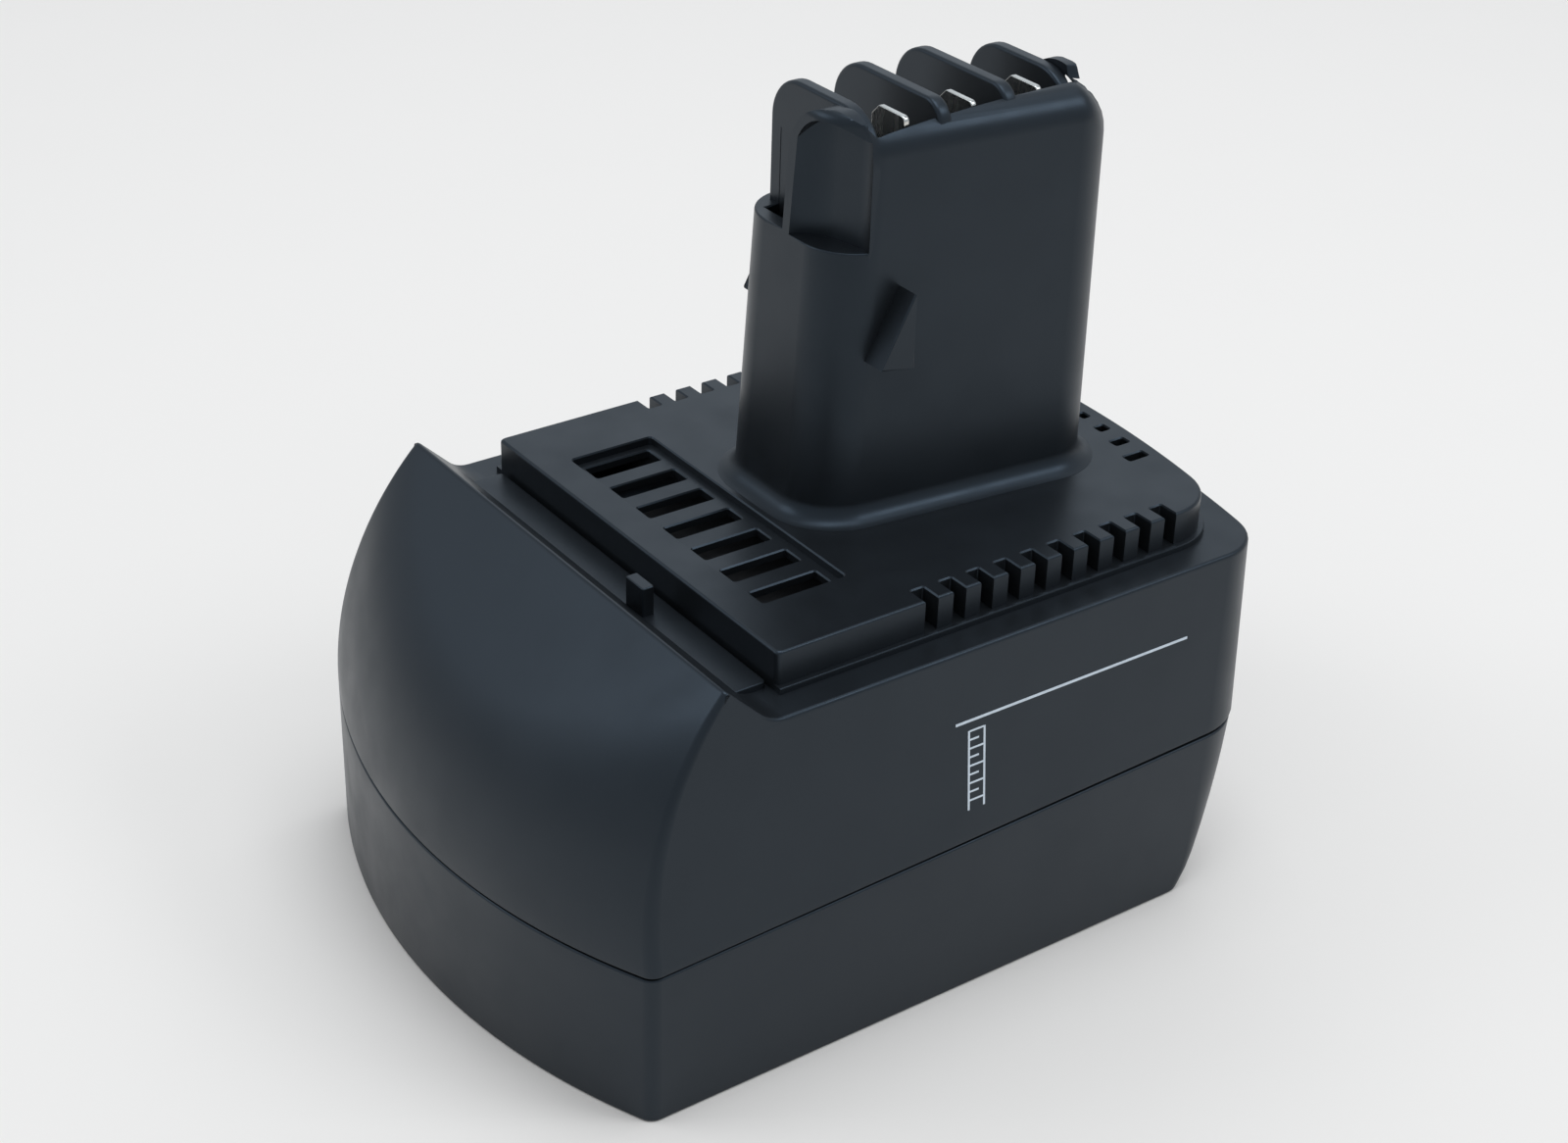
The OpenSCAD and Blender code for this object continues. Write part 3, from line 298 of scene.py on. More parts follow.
def loft(name, rings):
    """A closed solid through rings of places: a disc that is extruded from ring to ring."""
    deselect()
    bpy.ops.mesh.primitive_circle_add(vertices=len(rings[0]), radius=MM, fill_type="NGON")
    piece = bpy.context.object
    piece.name = name
    piece.data.name = name
    for vertex, place in zip(piece.data.vertices, rings[0]):
        vertex.co = place
    bpy.ops.object.mode_set(mode="EDIT")
    bpy.ops.mesh.select_all(action="SELECT")
    for low, high in zip(rings, rings[1:]):
        bpy.ops.mesh.extrude_region_move()
        mesh = bmesh.from_edit_mesh(piece.data)
        target = {tuple(a): b for a, b in zip(low, high)}
        for vertex in mesh.verts:
            if vertex.select:
                vertex.co = target[tuple(vertex.co)]
        bmesh.update_edit_mesh(piece.data)
    bpy.ops.mesh.select_all(action="SELECT")
    bpy.ops.mesh.normals_make_consistent(inside=False)
    bpy.ops.object.mode_set(mode="OBJECT")
    return piece


def bar(name, corners, axis, low, high, rim=0.0, steps=6):
    """A bar with an outline across an axis, whose two ends have a rounded rim."""
    turns = [pi / 2 * k / 4 for k in range(5)] if rim else [pi / 2]
    ends = [(rim * (1 - sin(t)), rim * (1 - cos(t))) for t in turns]
    rings = [stood(rounded(corners, inset, steps), axis, low + rise) for inset, rise in ends]
    rings += [stood(rounded(corners, inset, steps), axis, high - rise) for inset, rise in reversed(ends)]
    return loft(name, rings)


def pit(name, corners, bottom, top, flare):
    """An upright cutter whose mouth flares a little, so that it leaves a softened edge."""
    levels = [(bottom, 0.0), (top - flare, 0.0), (top + flare, -2 * flare)]
    return loft(name, [stood(rounded(corners, inset, 4), "Z", level) for level, inset in levels])


def oblong(x0, x1, y0, y1, radius=0.0):
    """The corners of a rectangle."""
    return [(x0, y0, radius), (x1, y0, radius), (x1, y1, radius), (x0, y1, radius)]


def combine(piece, tool, operation):
    """Joins a tool to a piece, cuts it away, or keeps what both share. The tool is used up."""
    activate(piece)
    modifier = piece.modifiers.new(operation.title(), "BOOLEAN")
    modifier.operation = operation
    modifier.solver = "EXACT"
    modifier.object = tool
    bpy.ops.object.modifier_apply(modifier=modifier.name)
    mesh = tool.data
    bpy.data.objects.remove(tool)
    bpy.data.meshes.remove(mesh)
    return piece


def joined(name, pieces):
    """Several separate shells as one piece."""
    deselect()
    for piece in pieces:
        piece.select_set(True)
    bpy.context.view_layer.objects.active = pieces[0]
    bpy.ops.object.join()
    pieces[0].name = name
    return pieces[0]


def soften(piece, width, chosen):
    """Rounds the edges that a test chooses."""
    activate(piece)
    bpy.ops.object.mode_set(mode="EDIT")
    bpy.ops.mesh.select_mode(type="EDGE")
    bpy.ops.mesh.select_all(action="DESELECT")
    mesh = bmesh.from_edit_mesh(piece.data)
    for edge in mesh.edges:
        edge.select = len(edge.link_faces) == 2 and chosen(edge)
    mesh.select_flush_mode()
    bmesh.update_edit_mesh(piece.data)
    bpy.ops.mesh.bevel(offset=width, segments=3, profile=0.5, affect="EDGES")
    bpy.ops.object.mode_set(mode="OBJECT")
    return piece


def complete(piece, material, nodes):
    """Cleans a piece, shades it, gives it its finish and its place in the pack."""
    speck = 0.0005 * MM
    crease = radians(32)
    activate(piece)
    bpy.ops.object.mode_set(mode="EDIT")
    bpy.ops.mesh.select_all(action="SELECT")
    bpy.ops.mesh.remove_doubles(threshold=speck)
    bpy.ops.mesh.dissolve_degenerate(threshold=speck)
    bpy.ops.object.mode_set(mode="OBJECT")
    bpy.ops.object.shade_smooth_by_angle(angle=crease)
    weighted = piece.modifiers.new("Weighted normals", "WEIGHTED_NORMAL")
    weighted.keep_sharp = True
    bpy.ops.object.modifier_apply(modifier=weighted.name)
    piece.data.materials.clear()
    piece.data.materials.append(material)
    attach(piece, "pack")
    if nodes:
        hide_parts(*nodes)
    return piece


# Finishes

NOISE_LOW, NOISE_HIGH = 0.3, 0.7


def surface(name):
    """A new material with its shader and Object coordinates."""
    material = bpy.data.materials.new(name)
    material.use_nodes = True
    nodes = material.node_tree.nodes
    shader = nodes["Principled BSDF"]
    places = nodes.new("ShaderNodeTexCoord").outputs["Object"]
    return material, shader, places


def link(material, output, socket):
    """Joins two sockets of a material."""
    material.node_tree.links.new(output, socket)


def noise(material, places, scale, detail=3.0, stretch=(1.0, 1.0, 1.0)):
    """Noise in Object coordinates, with its scale per metre."""
    nodes = material.node_tree.nodes
    mapping = nodes.new("ShaderNodeMapping")
    mapping.inputs["Scale"].default_value = stretch
    texture = nodes.new("ShaderNodeTexNoise")
    texture.inputs["Scale"].default_value = scale
    texture.inputs["Detail"].default_value = detail
    link(material, places, mapping.inputs["Vector"])
    link(material, mapping.outputs["Vector"], texture.inputs["Vector"])
    return texture.outputs["Fac"]


def tinted(material, shader, value, rgb, spread):
    """Lets the colour wander a little around its middle."""
    ramp = material.node_tree.nodes.new("ShaderNodeValToRGB")
    ramp.color_ramp.elements[0].position = NOISE_LOW
    ramp.color_ramp.elements[1].position = NOISE_HIGH
    ramp.color_ramp.elements[0].color = (*[c * (1 - spread) for c in rgb], 1)
    ramp.color_ramp.elements[1].color = (*[c * (1 + spread) for c in rgb], 1)
    link(material, value, ramp.inputs["Fac"])
    link(material, ramp.outputs["Color"], shader.inputs["Base Color"])


def roughened(material, shader, value, low, high):
    """Lets the roughness wander between two values."""
    span = material.node_tree.nodes.new("ShaderNodeMapRange")
    span.inputs["From Min"].default_value = NOISE_LOW
    span.inputs["From Max"].default_value = NOISE_HIGH
    span.inputs["To Min"].default_value = low
    span.inputs["To Max"].default_value = high
    link(material, value, span.inputs["Value"])
    link(material, span.outputs["Result"], shader.inputs["Roughness"])


def grained(material, shader, value, depth, strength=1.0):
    """Raises a grain of a depth in metres."""
    bump = material.node_tree.nodes.new("ShaderNodeBump")
    bump.inputs["Distance"].default_value = depth
    bump.inputs["Strength"].default_value = strength
    link(material, value, bump.inputs["Height"])
    link(material, bump.outputs["Normal"], shader.inputs["Normal"])


def moulded_plastic(name, rgb, low, high, depth):
    """Spark-eroded moulded plastic: a fine grain with faint handling marks."""
    material, shader, places = surface(name)
    shader.inputs["Specular IOR Level"].default_value = 0.45
    shader.inputs["Specular Tint"].default_value = (0.62, 0.80, 1.0, 1)
    tinted(material, shader, noise(material, places, 55.0), rgb, 0.10)
    roughened(material, shader, noise(material, places, 140.0, 6.0), low, high)
    grained(material, shader, noise(material, places, 5200.0, 2.0), depth, 0.5)
    return material


def bright_metal(name, rgb, low, high, stretch):
    """Rolled or plated metal with fine streaks."""
    material, shader, places = surface(name)
    shader.inputs["Metallic"].default_value = 1.0
    streaks = noise(material, places, 900.0, 4.0, stretch)
    tinted(material, shader, noise(material, places, 200.0), rgb, 0.12)
    roughened(material, shader, streaks, low, high)
    grained(material, shader, streaks, 0.004 * MM, 0.6)
    return material


def shrink_film(name, rgb):
    """Thin glossy film with soft wrinkles."""
    material, shader, places = surface(name)
    shader.inputs["Coat Weight"].default_value = 0.4
    tinted(material, shader, noise(material, places, 90.0), rgb, 0.15)
    roughened(material, shader, noise(material, places, 300.0), 0.22, 0.36)
    grained(material, shader, noise(material, places, 240.0, 2.0, (1.0, 1.0, 0.2)), 0.05 * MM, 0.5)
    return material


def pressed_card(name, rgb):
    """Fibrous insulating card."""
    material, shader, places = surface(name)
    fibres = noise(material, places, 1500.0, 5.0, (1.0, 0.15, 1.0))
    tinted(material, shader, fibres, rgb, 0.25)
    roughened(material, shader, noise(material, places, 400.0), 0.7, 0.9)
    grained(material, shader, fibres, 0.02 * MM, 0.8)
    return material


def open_foam(name, rgb):
    """Fine open foam."""
    material, shader, places = surface(name)
    cells = material.node_tree.nodes.new("ShaderNodeTexVoronoi")
    cells.inputs["Scale"].default_value = 1400.0
    link(material, places, cells.inputs["Vector"])
    tinted(material, shader, cells.outputs["Distance"], rgb, 0.35)
    roughened(material, shader, noise(material, places, 600.0), 0.85, 1.0)
    grained(material, shader, cells.outputs["Distance"], 0.25 * MM)
    return material


def printed_ink(name, rgb):
    """Thin pad-printed ink, slightly uneven."""
    material, shader, places = surface(name)
    tinted(material, shader, noise(material, places, 700.0, 4.0), rgb, 0.06)
    roughened(material, shader, noise(material, places, 400.0), 0.42, 0.58)
    grained(material, shader, noise(material, places, 3000.0), 0.004 * MM, 0.5)
    return material


# Shape of the base

def parting_at(y):
    """Height of the parting plane at a place along Y."""
    return base().parting_height + y * tan(base().parting_tilt)


def crown_edge(x, z, inset):
    """Place of the crowned front, upright at every height."""
    return base().crown_radius - base().half_length - sqrt((base().crown_radius - inset) ** 2 - x ** 2)


def front_edge(x, z, inset):
    """Place of the crowned front, and above it of the leaning face that it turns into."""
    d = deck()
    lean = d.face_lean
    start = d.lip_height + (d.lip - base().half_length) / tan(lean) - d.face_blend * tan(lean / 2)
    outer = d.lip_height + (crown_edge(x, z, 0.0) + d.lip) / tan(lean)
    blend = (outer - start) / tan(lean / 2) - inset
    crown = crown_edge(x, z, inset)
    meet = d.lip_height + (crown + d.lip - inset / cos(lean)) / tan(lean)
    rise = z - meet + blend * tan(lean / 2)
    if rise <= 0:
        return crown
    if rise < blend * sin(lean):
        return crown + blend - sqrt(blend ** 2 - rise ** 2)
    return -d.lip - (d.lip_height - z) * tan(lean) + inset / cos(lean)


def tray_lean(z):
    """How far the back of the tray has drawn in at a height."""
    slope, curve = 0.15, 9.0
    drop = max(0.0, parting_at(base().half_length) - z)
    return base().tray_set + slope * drop + curve * drop ** 2


def soft_corner(z, inset, side, front):
    """The arc that joins the front to a side: the last place on the front, the middle and the first turn."""
    rise = (z - base().parting_height) / (deck().lip_height - base().parting_height)
    share = min(max(rise, 0.0), 1.0)
    least, near = 0.8 * MM, 0.01 * MM
    radius = max((1 - share) * base().front_corner + share * base().lip_corner - inset, least)
    low, high = side - 4 * radius, side - near
    for _ in range(40):
        x = (low + high) / 2
        slope = (front(x + near, z, inset) - front(x - near, z, inset)) / (2 * near)
        long = sqrt(1 + slope ** 2)
        middle = Vector((x - radius * slope / long, front(x, z, inset) + radius / long))
        if middle.x > side - radius:
            high = x
        else:
            low = x
    return x, middle, radius, atan2(-1.0, slope)


def base_ring(level, inset, tray=False):
    """One ring around the base, on a surface that gives a height for each place along Y."""
    front = crown_edge if tray else front_edge
    front_share, back_share = 0.85, 0.8
    least_round = 2.5 * MM
    front_z = level(-front_share * base().half_length)
    back_z = level(back_share * base().half_length)

    def side_at(z):
        if tray:
            return base().half_width - inset
        draft = base().side_draft
        return base().half_width - (z - base().parting_height) * tan(draft) - inset / cos(draft)

    last, middle, radius, turn = soft_corner(front_z, inset, side_at(front_z), front)
    places = []
    count = 64
    for k in range(count + 1):
        x = last * (2 * k / count - 1)
        y = front(x, front_z, inset)
        for _ in range(4):
            y = front(x, level(y), inset)
        places.append(Vector((x, y)))
    right = arc(middle, radius, turn, 0.0, 6)[1:]
    lean = tray_lean(back_z) if tray else 0.0
    side = side_at(back_z)
    round_back = base().back_corner - (base().half_width - side)
    if tray:
        round_back = max(round_back - lean, least_round)
    crown = base().half_length - base().back_crown - lean
    reach = base().back_crown - inset
    over = side - round_back
    corner = Vector((over, crown + sqrt((reach - round_back) ** 2 - over ** 2)))
    meet = atan2(corner.y - crown, corner.x)
    back_right = arc(corner, round_back, 0.0, meet, 10)
    back = arc((0.0, crown), reach, meet, pi - meet, 48)[1:-1]
    left = [Vector((-p.x, p.y)) for p in reversed(right + back_right)]
    places += right + back_right + back + left
    return [Vector((p.x, p.y, level(p.y))) for p in places]


def flat(z):
    """A level surface."""
    return lambda y: z


def along_parting(lift, share=0.0, z=0.0):
    """A surface between the lifted parting plane and a level."""
    return lambda y: (1 - share) * (parting_at(y) + lift) + share * z


def deck_outline(inset):
    """The outline of the deck from above."""
    half = deck().half_width - inset
    front = -deck().front + inset
    edge = 0.7 * MM
    corner = deck().corner - inset
    crown = base().half_length - base().back_crown
    reach = base().back_crown - deck().back_step - inset
    middle = Vector((half - corner, crown + sqrt((reach - corner) ** 2 - (half - corner) ** 2)))
    meet = atan2(middle.y - crown, middle.x)
    right = arc((half - edge, front + edge), edge, -pi / 2, 0.0, 4)
    right += arc(middle, corner, 0.0, meet, 10)
    back = arc((0.0, crown), reach, meet, pi - meet, 40)[1:-1]
    left = [Vector((-p.x, p.y)) for p in reversed(right)]
    return right + back + left


def tower_ring(z, grow=0.0):
    """One ring around the tower, which narrows towards its top and its upright back."""
    t = tower()
    ahead = Vector((t.front_half - t.front_corner, t.front + t.front_corner))
    behind = Vector((t.back_half - t.back_corner, t.back - t.back_corner))
    run = behind - ahead
    meet = atan2(run.y, run.x) - acos((t.front_corner - t.back_corner) / run.length)
    right = arc(ahead, t.front_corner + grow, -pi / 2, meet, 14)
    right += arc(behind, t.back_corner + grow, meet, pi / 2, 14)
    places = right + [Vector((-p.x, p.y)) for p in reversed(right)]
    start = deck().height - base().wall
    share = max(0.0, (z - start) / (t.fin_top - start))
    wide = 1 - t.narrowing * share
    long = 1 - t.shortening * share
    return [Vector((p.x * wide, t.back + (p.y - t.back) * long, z)) for p in places]


def fin_middles():
    """Places of the fins along Y."""
    return [tower().fin_first + i * tower().fin_pitch for i in range(4)]


def screw_places():
    """Places of the case screws, from the corners of their node."""
    low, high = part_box("case_screws")
    head = 2.8 * MM
    back = 11.4 * MM
    return [(high[0] - head, low[1] + head), (low[0] + head, low[1] + head),
            (back, high[1] - head), (-back, high[1] - head)]


# Upper housing

def crowned_shell():
    """The base of the housing up to its lip, with the scooped step cut into it."""
    edge = base().parting_edge
    gap = base().parting_gap / 2
    rings = [base_ring(along_parting(gap), edge)]
    rings += [base_ring(along_parting(gap + edge * (1 - cos(t))), edge * (1 - sin(t)))
              for t in (0.5, 1.0, pi / 2)]
    start = 27.5 * MM
    rings += [base_ring(along_parting(gap + edge, share, start), 0.0) for share in (0.2, 0.4, 0.6, 0.8)]
    rings += [base_ring(flat(start + k * MM), 0.0) for k in range(32)]
    shell = loft("upper_housing_shell", rings)
    d = deck()
    trough_front = 28.2 * MM
    slope = (d.lip - trough_front) / (d.lip_height - d.trough_height)
    rise = 8 * MM
    behind, beside = 70 * MM, 60 * MM
    scoop = [
        (-d.lip - rise * slope, d.lip_height + rise, 0.0),
        (-d.lip + (d.lip_height - d.step_height) * slope, d.step_height, d.scoop),
        (behind, d.step_height, 0.0),
        (behind, d.lip_height + rise, 0.0),
    ]
    cutter = bar("scoop_cutter", scoop, "X", -beside, beside, steps=10)
    combine(shell, cutter, "DIFFERENCE")
    low = d.step_height - 2 * MM

    def turned(edge):
        middle = (edge.verts[0].co + edge.verts[1].co) / 2
        return middle.z > low and edge.calc_face_angle(0.0) > radians(28)

    return soften(shell, d.edge, turned)


def trough_block():
    """The raised floor of the trough behind the lip."""
    d = deck()
    front, back = -34 * MM, -d.front - d.trough_gap
    corners = oblong(-d.trough_half, d.trough_half, front, back, 0.5 * MM)
    block = bar("trough_block", corners, "Z", d.step_height - 2 * MM, d.trough_height, d.slot_edge, 4)
    behind, beside = -d.front + 2 * MM, 40 * MM
    under_lip = [
        (-50 * MM, d.lip_height - 22 * MM, 0.0),
        (behind, 40 * MM, 0.0),
        (behind, d.trough_height + MM, 0.0),
        (-29.5 * MM, 51 * MM, 0.0),
        (-d.lip - 1.5 * MM, d.lip_height, 0.0),
    ]
    below = bar("trough_limit", under_lip, "X", -beside, beside)
    return combine(block, below, "INTERSECT")


def deck_block():
    """The deck with a rounded upper rim."""
    d = deck()
    turns = [pi / 2 * k / 4 for k in range(5)]
    rings = [stood(deck_outline(0.0), "Z", z) for z in (d.step_height - 3 * MM, d.step_height + MM)]
    for t in turns:
        rings.append(stood(deck_outline(d.rim * (1 - cos(t))), "Z", d.height - d.rim * (1 - sin(t))))
    return loft("deck_block", rings)


def skirt_block():
    """The narrow ledge around the foot of the deck, behind the trough."""
    d = deck()
    edge = d.slot_edge
    turn = 0.3 * edge
    top = d.step_height + d.skirt
    levels = [(d.step_height - 2 * MM, 0.0), (top - edge, 0.0), (top - turn, turn), (top, edge)]
    skirt = loft("skirt_block", [stood(deck_outline(inset - d.skirt), "Z", z) for z, inset in levels])
    beyond = 60 * MM
    behind = bar("skirt_limit", oblong(-beyond, beyond, -d.front, beyond), "Z", 40 * MM, beyond)
    return combine(skirt, behind, "INTERSECT")


def key_block():
    """The small key that stands in the trough."""
    middle, half = 8.75 * MM, 1.95 * MM
    front, back = -28.2 * MM, -26.5 * MM
    rise, rim = 3.9 * MM, 0.22 * MM
    floor = deck().trough_height
    corners = oblong(middle - half, middle + half, front, back, 0.3 * MM)
    return bar("key_block", corners, "Z", floor - 2 * MM, floor + rise, rim, 4)


def tower_block():
    """The tower in one piece: a hollow turn at its foot, and a top that sinks along the closed side wall."""
    t = tower()
    foot = deck().height
    turns = [radians(a) for a in (8, 20, 32, 44, 56, 68, 80, 90)]
    rings = [tower_ring(foot - 2 * MM, t.foot * (1 - sin(turns[0])))]
    rings += [tower_ring(foot + t.foot * (1 - cos(a)), t.foot * (1 - sin(a))) for a in turns]
    rings += [tower_ring(z * MM) for z in range(60, 100, 4)]
    for step in range(9):
        rings.append(head_ring(pi / 2 * step / 8, 0.0))
    rings += [head_ring(pi / 2, MM), tower_ring(t.fin_top - 0.7 * MM, -6 * MM)]
    block = loft("tower_block", rings)
    fins = fin_middles()
    within = 0.8 * MM
    slot_area = oblong(CUT_OPEN, t.wall_inside, fins[0] - within, fins[3] + within)
    combine(block, bar("slot_cutter", slot_area, "Z", t.slot_floor, CUT_TOP), "DIFFERENCE")
    for y0, y1 in ((CUT_FRONT, fins[0] + within), (fins[3] - within, CUT_BACK)):
        corner_area = oblong(CUT_OPEN, t.wall_inside, y0, y1)
        corner = bar("corner_cutter", corner_area, "Z", t.corner_height, CUT_TOP)
        rim = bar("groove_rim", arch(t.groove_rim), "Y", y0 - MM, y1 + MM, steps=16)
        combine(block, combine(corner, rim, "DIFFERENCE"), "DIFFERENCE")
    combine(block, back_relief(), "DIFFERENCE")
    for middle, reach, drop in zip(fins, t.fin_reach, t.fin_drop):
        by_groove = middle in (fins[0], fins[3])
        closed_corner = t.groove + t.groove_rim if by_groove else t.fin_blend
        combine(block, fin_block(middle, reach, t.fin_top - drop, closed_corner), "UNION")
    for front in (True, False):
        combine(block, groove_cutter(front), "DIFFERENCE")
        combine(block, corner_pocket(front), "DIFFERENCE")

    ledges = (t.groove_floor, t.corner_height)

    def at_ledge(edge):
        level = [v.co.z for v in edge.verts]
        if not any(max(abs(z - h) for z in level) < 0.01 * MM for h in ledges):
            return False
        return edge.calc_face_angle_signed(0.0) > radians(50)

    return soften(block, 0.25 * MM, at_ledge)


def head_ring(turn, inset):
    """A ring on the rounded top of the tower, which is lower and rounder along the closed side."""
    t = tower()
    count = len(tower_ring(0.0))
    back_share, blend = 0.22, 0.08

    def rounded_top(top, edge):
        return tower_ring(top - edge * (1 - sin(turn)), -edge * (1 - cos(turn)) - inset)

    front_rim, back_rim = rounded_top(t.fin_top, t.rim_front), rounded_top(t.fin_top, t.rim_back)
    wall, wall_end = rounded_top(t.wall_top, t.wall_edge), rounded_top(t.wall_top, t.wall_end)
    places = []
    for i in range(count):
        share = i / count
        far = min(max((back_share - abs(share - 0.5)) / blend, 0.0), 1.0)
        rim = front_rim[i].lerp(back_rim[i], far)
        places.append(rim.lerp(wall[i].lerp(wall_end[i], far), closed_share(share)))
    return places


def closed_share(share):
    """How far a place around the tower belongs to the closed side wall, from 0 to 1."""
    wall_start, wall_stop, blend = 0.15, 0.47, 0.06
    start = min(max((share - wall_start) / blend, 0.0), 1.0)
    end = min(max((wall_stop - share) / blend, 0.0), 1.0)
    both = min(start, end)
    return both * both * (3 - 2 * both)


def fin_block(middle, reach, top, closed_corner):
    """One fin between two contacts, rounded at its open end and blended into the closed wall."""
    t = tower()
    left = -reach
    right = t.wall_inside + 0.9 * MM
    low = t.slot_floor - 4 * MM
    corners = [(left, low, 0.0), (right, low, 0.0), (right, top, closed_corner), (left, top, t.fin_corner)]
    half = t.fin_thickness / 2
    return bar("fin_block", corners, "Y", middle - half, middle + half, t.fin_rim, 12)


def arch(grow):
    """The outline of a groove with an arched top, grown all round."""
    t = tower()
    radius = t.groove + grow
    turn = radius * 0.999
    left, right = t.groove_middle - radius, t.groove_middle + radius
    low, top = 80 * MM, t.groove_top + grow
    return [(left, low, 0.0), (right, low, 0.0), (right, top, turn), (left, top, turn)]


def groove_cutter(front):
    """The hollow of a groove: an upright channel with an arched top, shallower towards the closed side."""
    t = tower()
    fins = fin_middles()
    skin, above = 0.3 * MM, 112 * MM
    away = t.fin_thickness / 2 + t.groove + skin
    out = -1 if front else 1
    deep = Vector((t.groove_middle, (fins[0] if front else fins[3]) + out * away))
    shallow = deep + Vector((3.5 * MM, -out * 2 * MM))
    run = shallow - deep
    towards = atan2(run.y, run.x)
    half = acos((t.groove - t.groove_side) / run.length)
    outline = arc(shallow, t.groove_side, towards - half, towards + half, 24)
    outline += arc(deep, t.groove, towards + half, towards - half + 2 * pi, 48)
    channel = loft("groove_channel", [stood(outline, "Z", z) for z in (t.groove_floor, above)])
    y0, y1 = (CUT_FRONT, fins[0]) if front else (fins[3], CUT_BACK)
    return combine(channel, bar("groove_arch", arch(0.0), "Y", y0, y1, steps=16), "INTERSECT")


def corner_pocket(front):
    """The narrow pocket between a cut-down corner and the fin beside it."""
    t = tower()
    fins = fin_middles()
    half = t.fin_thickness / 2
    wide, bite = 2 * MM, 0.05 * MM
    y0, y1 = fins[0] - half - wide, fins[0] - half + bite
    if not front:
        y0, y1 = fins[3] + half - bite, fins[3] + half + wide
    left = -7.2 * MM
    right = t.groove_middle - t.groove - 2.2 * MM
    floor, above = t.groove_floor - 4 * MM, 100 * MM
    return bar("corner_pocket", oblong(left, right, y0, y1), "Z", floor, above)


def back_relief():
    """The slope that opens the top of the groove at the back."""
    t = tower()
    roof, bite = 1.2 * MM, 0.35 * MM
    y0 = fin_middles()[3] + t.fin_thickness / 2 + roof
    y1 = 60 * MM
    high, low, top = 101 * MM, 92 * MM, 130 * MM
    corners = [(y0, high, MM), (y1, low, 0.0), (y1, top, 0.0), (y0, top, 0.0)]
    return bar("back_relief", corners, "X", CUT_OPEN, t.wall_inside + bite)


def catch_block(side):
    """A wedge-shaped catch on one side of the tower."""
    t = tower()
    edge = 0.25 * MM
    y0, y1 = t.catch_front, t.catch_front + t.catch_length
    foot, top = t.catch_height, t.catch_height + t.catch_rise
    corners = [(y0, foot + MM, edge), (y1, foot, edge), (y1, top, edge)]
    x0, x1 = t.front_half - 3 * MM, t.catch_half
    low, high = (x0, x1) if side > 0 else (-x1, -x0)
    return bar("catch_block", corners, "X", low, high, edge, 4)


def vent_cutters():
    """Everything that is cut into the deck: the sunk grille, the notches and the back vents."""
    d = deck()
    inside = 45 * MM
    corner = 0.2 * MM
    cutters = []
    half = d.grille_slot / 2
    y0, y1 = -d.grille_middle - d.grille_length / 2, -d.grille_middle + d.grille_length / 2
    for i in range(-3, 4):
        x = i * d.grille_pitch
        corners = oblong(x - half, x + half, y0, y1, 0.25 * MM)
        cutters.append(pit("grille_slot", corners, inside, d.height - d.grille_sink, d.slot_edge))
    x0, x1 = d.half_width - d.notch_depth, d.half_width + 3 * MM
    for left, right in ((x0, x1), (-x1, -x0)):
        for i in range(10):
            y = d.notch_start + i * d.notch_pitch
            corners = oblong(left, right, y, y + d.notch_width, corner)
            cutters.append(pit("notch", corners, d.step_height + d.skirt, d.height, d.slot_edge))
    reach = base().back_crown - d.back_step - 2 * MM
    crown = base().half_length - base().back_crown
    half = 0.75 * MM
    for i in range(-4, 5):
        x = i * d.notch_pitch
        y1 = crown + sqrt(reach ** 2 - x ** 2)
        y0 = y1 - MM - 2.2 * MM * (i / 4) ** 2
        corners = oblong(x - half, x + half, y0, y1, corner)
        cutters.append(pit("back_vent", corners, inside, d.height, d.slot_edge))
    return cutters


def grille_field():
    """The sunk field around the slots of the grille."""
    d = deck()
    half = 3 * d.grille_pitch + d.grille_slot / 2 + d.grille_margin
    long = d.grille_length / 2 + d.grille_margin
    corners = oblong(-half, half, -d.grille_middle - long, -d.grille_middle + long, 0.5 * MM)
    return pit("grille_field", corners, d.height - d.grille_sink, d.height, d.slot_edge)


def housing_hollow():
    """The space inside the housing, with its screw bosses left standing."""
    wall = base().wall
    roof = deck().step_height - wall
    rings = [base_ring(flat(z * MM), wall) for z in range(16, 47)]
    rings.append(base_ring(flat(roof), wall))
    hollow = loft("housing_hollow", rings)
    upper = [stood(deck_outline(wall), "Z", z) for z in (roof - 4 * MM, deck().height - wall)]
    combine(hollow, loft("deck_hollow", upper), "UNION")
    spare = 0.15 * MM
    levels = (flat(15 * MM), along_parting(base().tongue + spare))
    groove = [base_ring(level, wall / 2) for level in levels]
    combine(hollow, loft("tongue_groove", groove), "UNION")
    for x, y in screw_places():
        combine(hollow, round_hole(x, y, base().boss, 10 * MM, 60 * MM), "DIFFERENCE")
    return hollow


def round_hole(x, y, radius, low, high, steps=32):
    """A round cutter."""
    circle = arc((x, y), radius, 0, 2 * pi, steps)[:-1]
    return loft("round_hole", [stood(circle, "Z", low), stood(circle, "Z", high)])


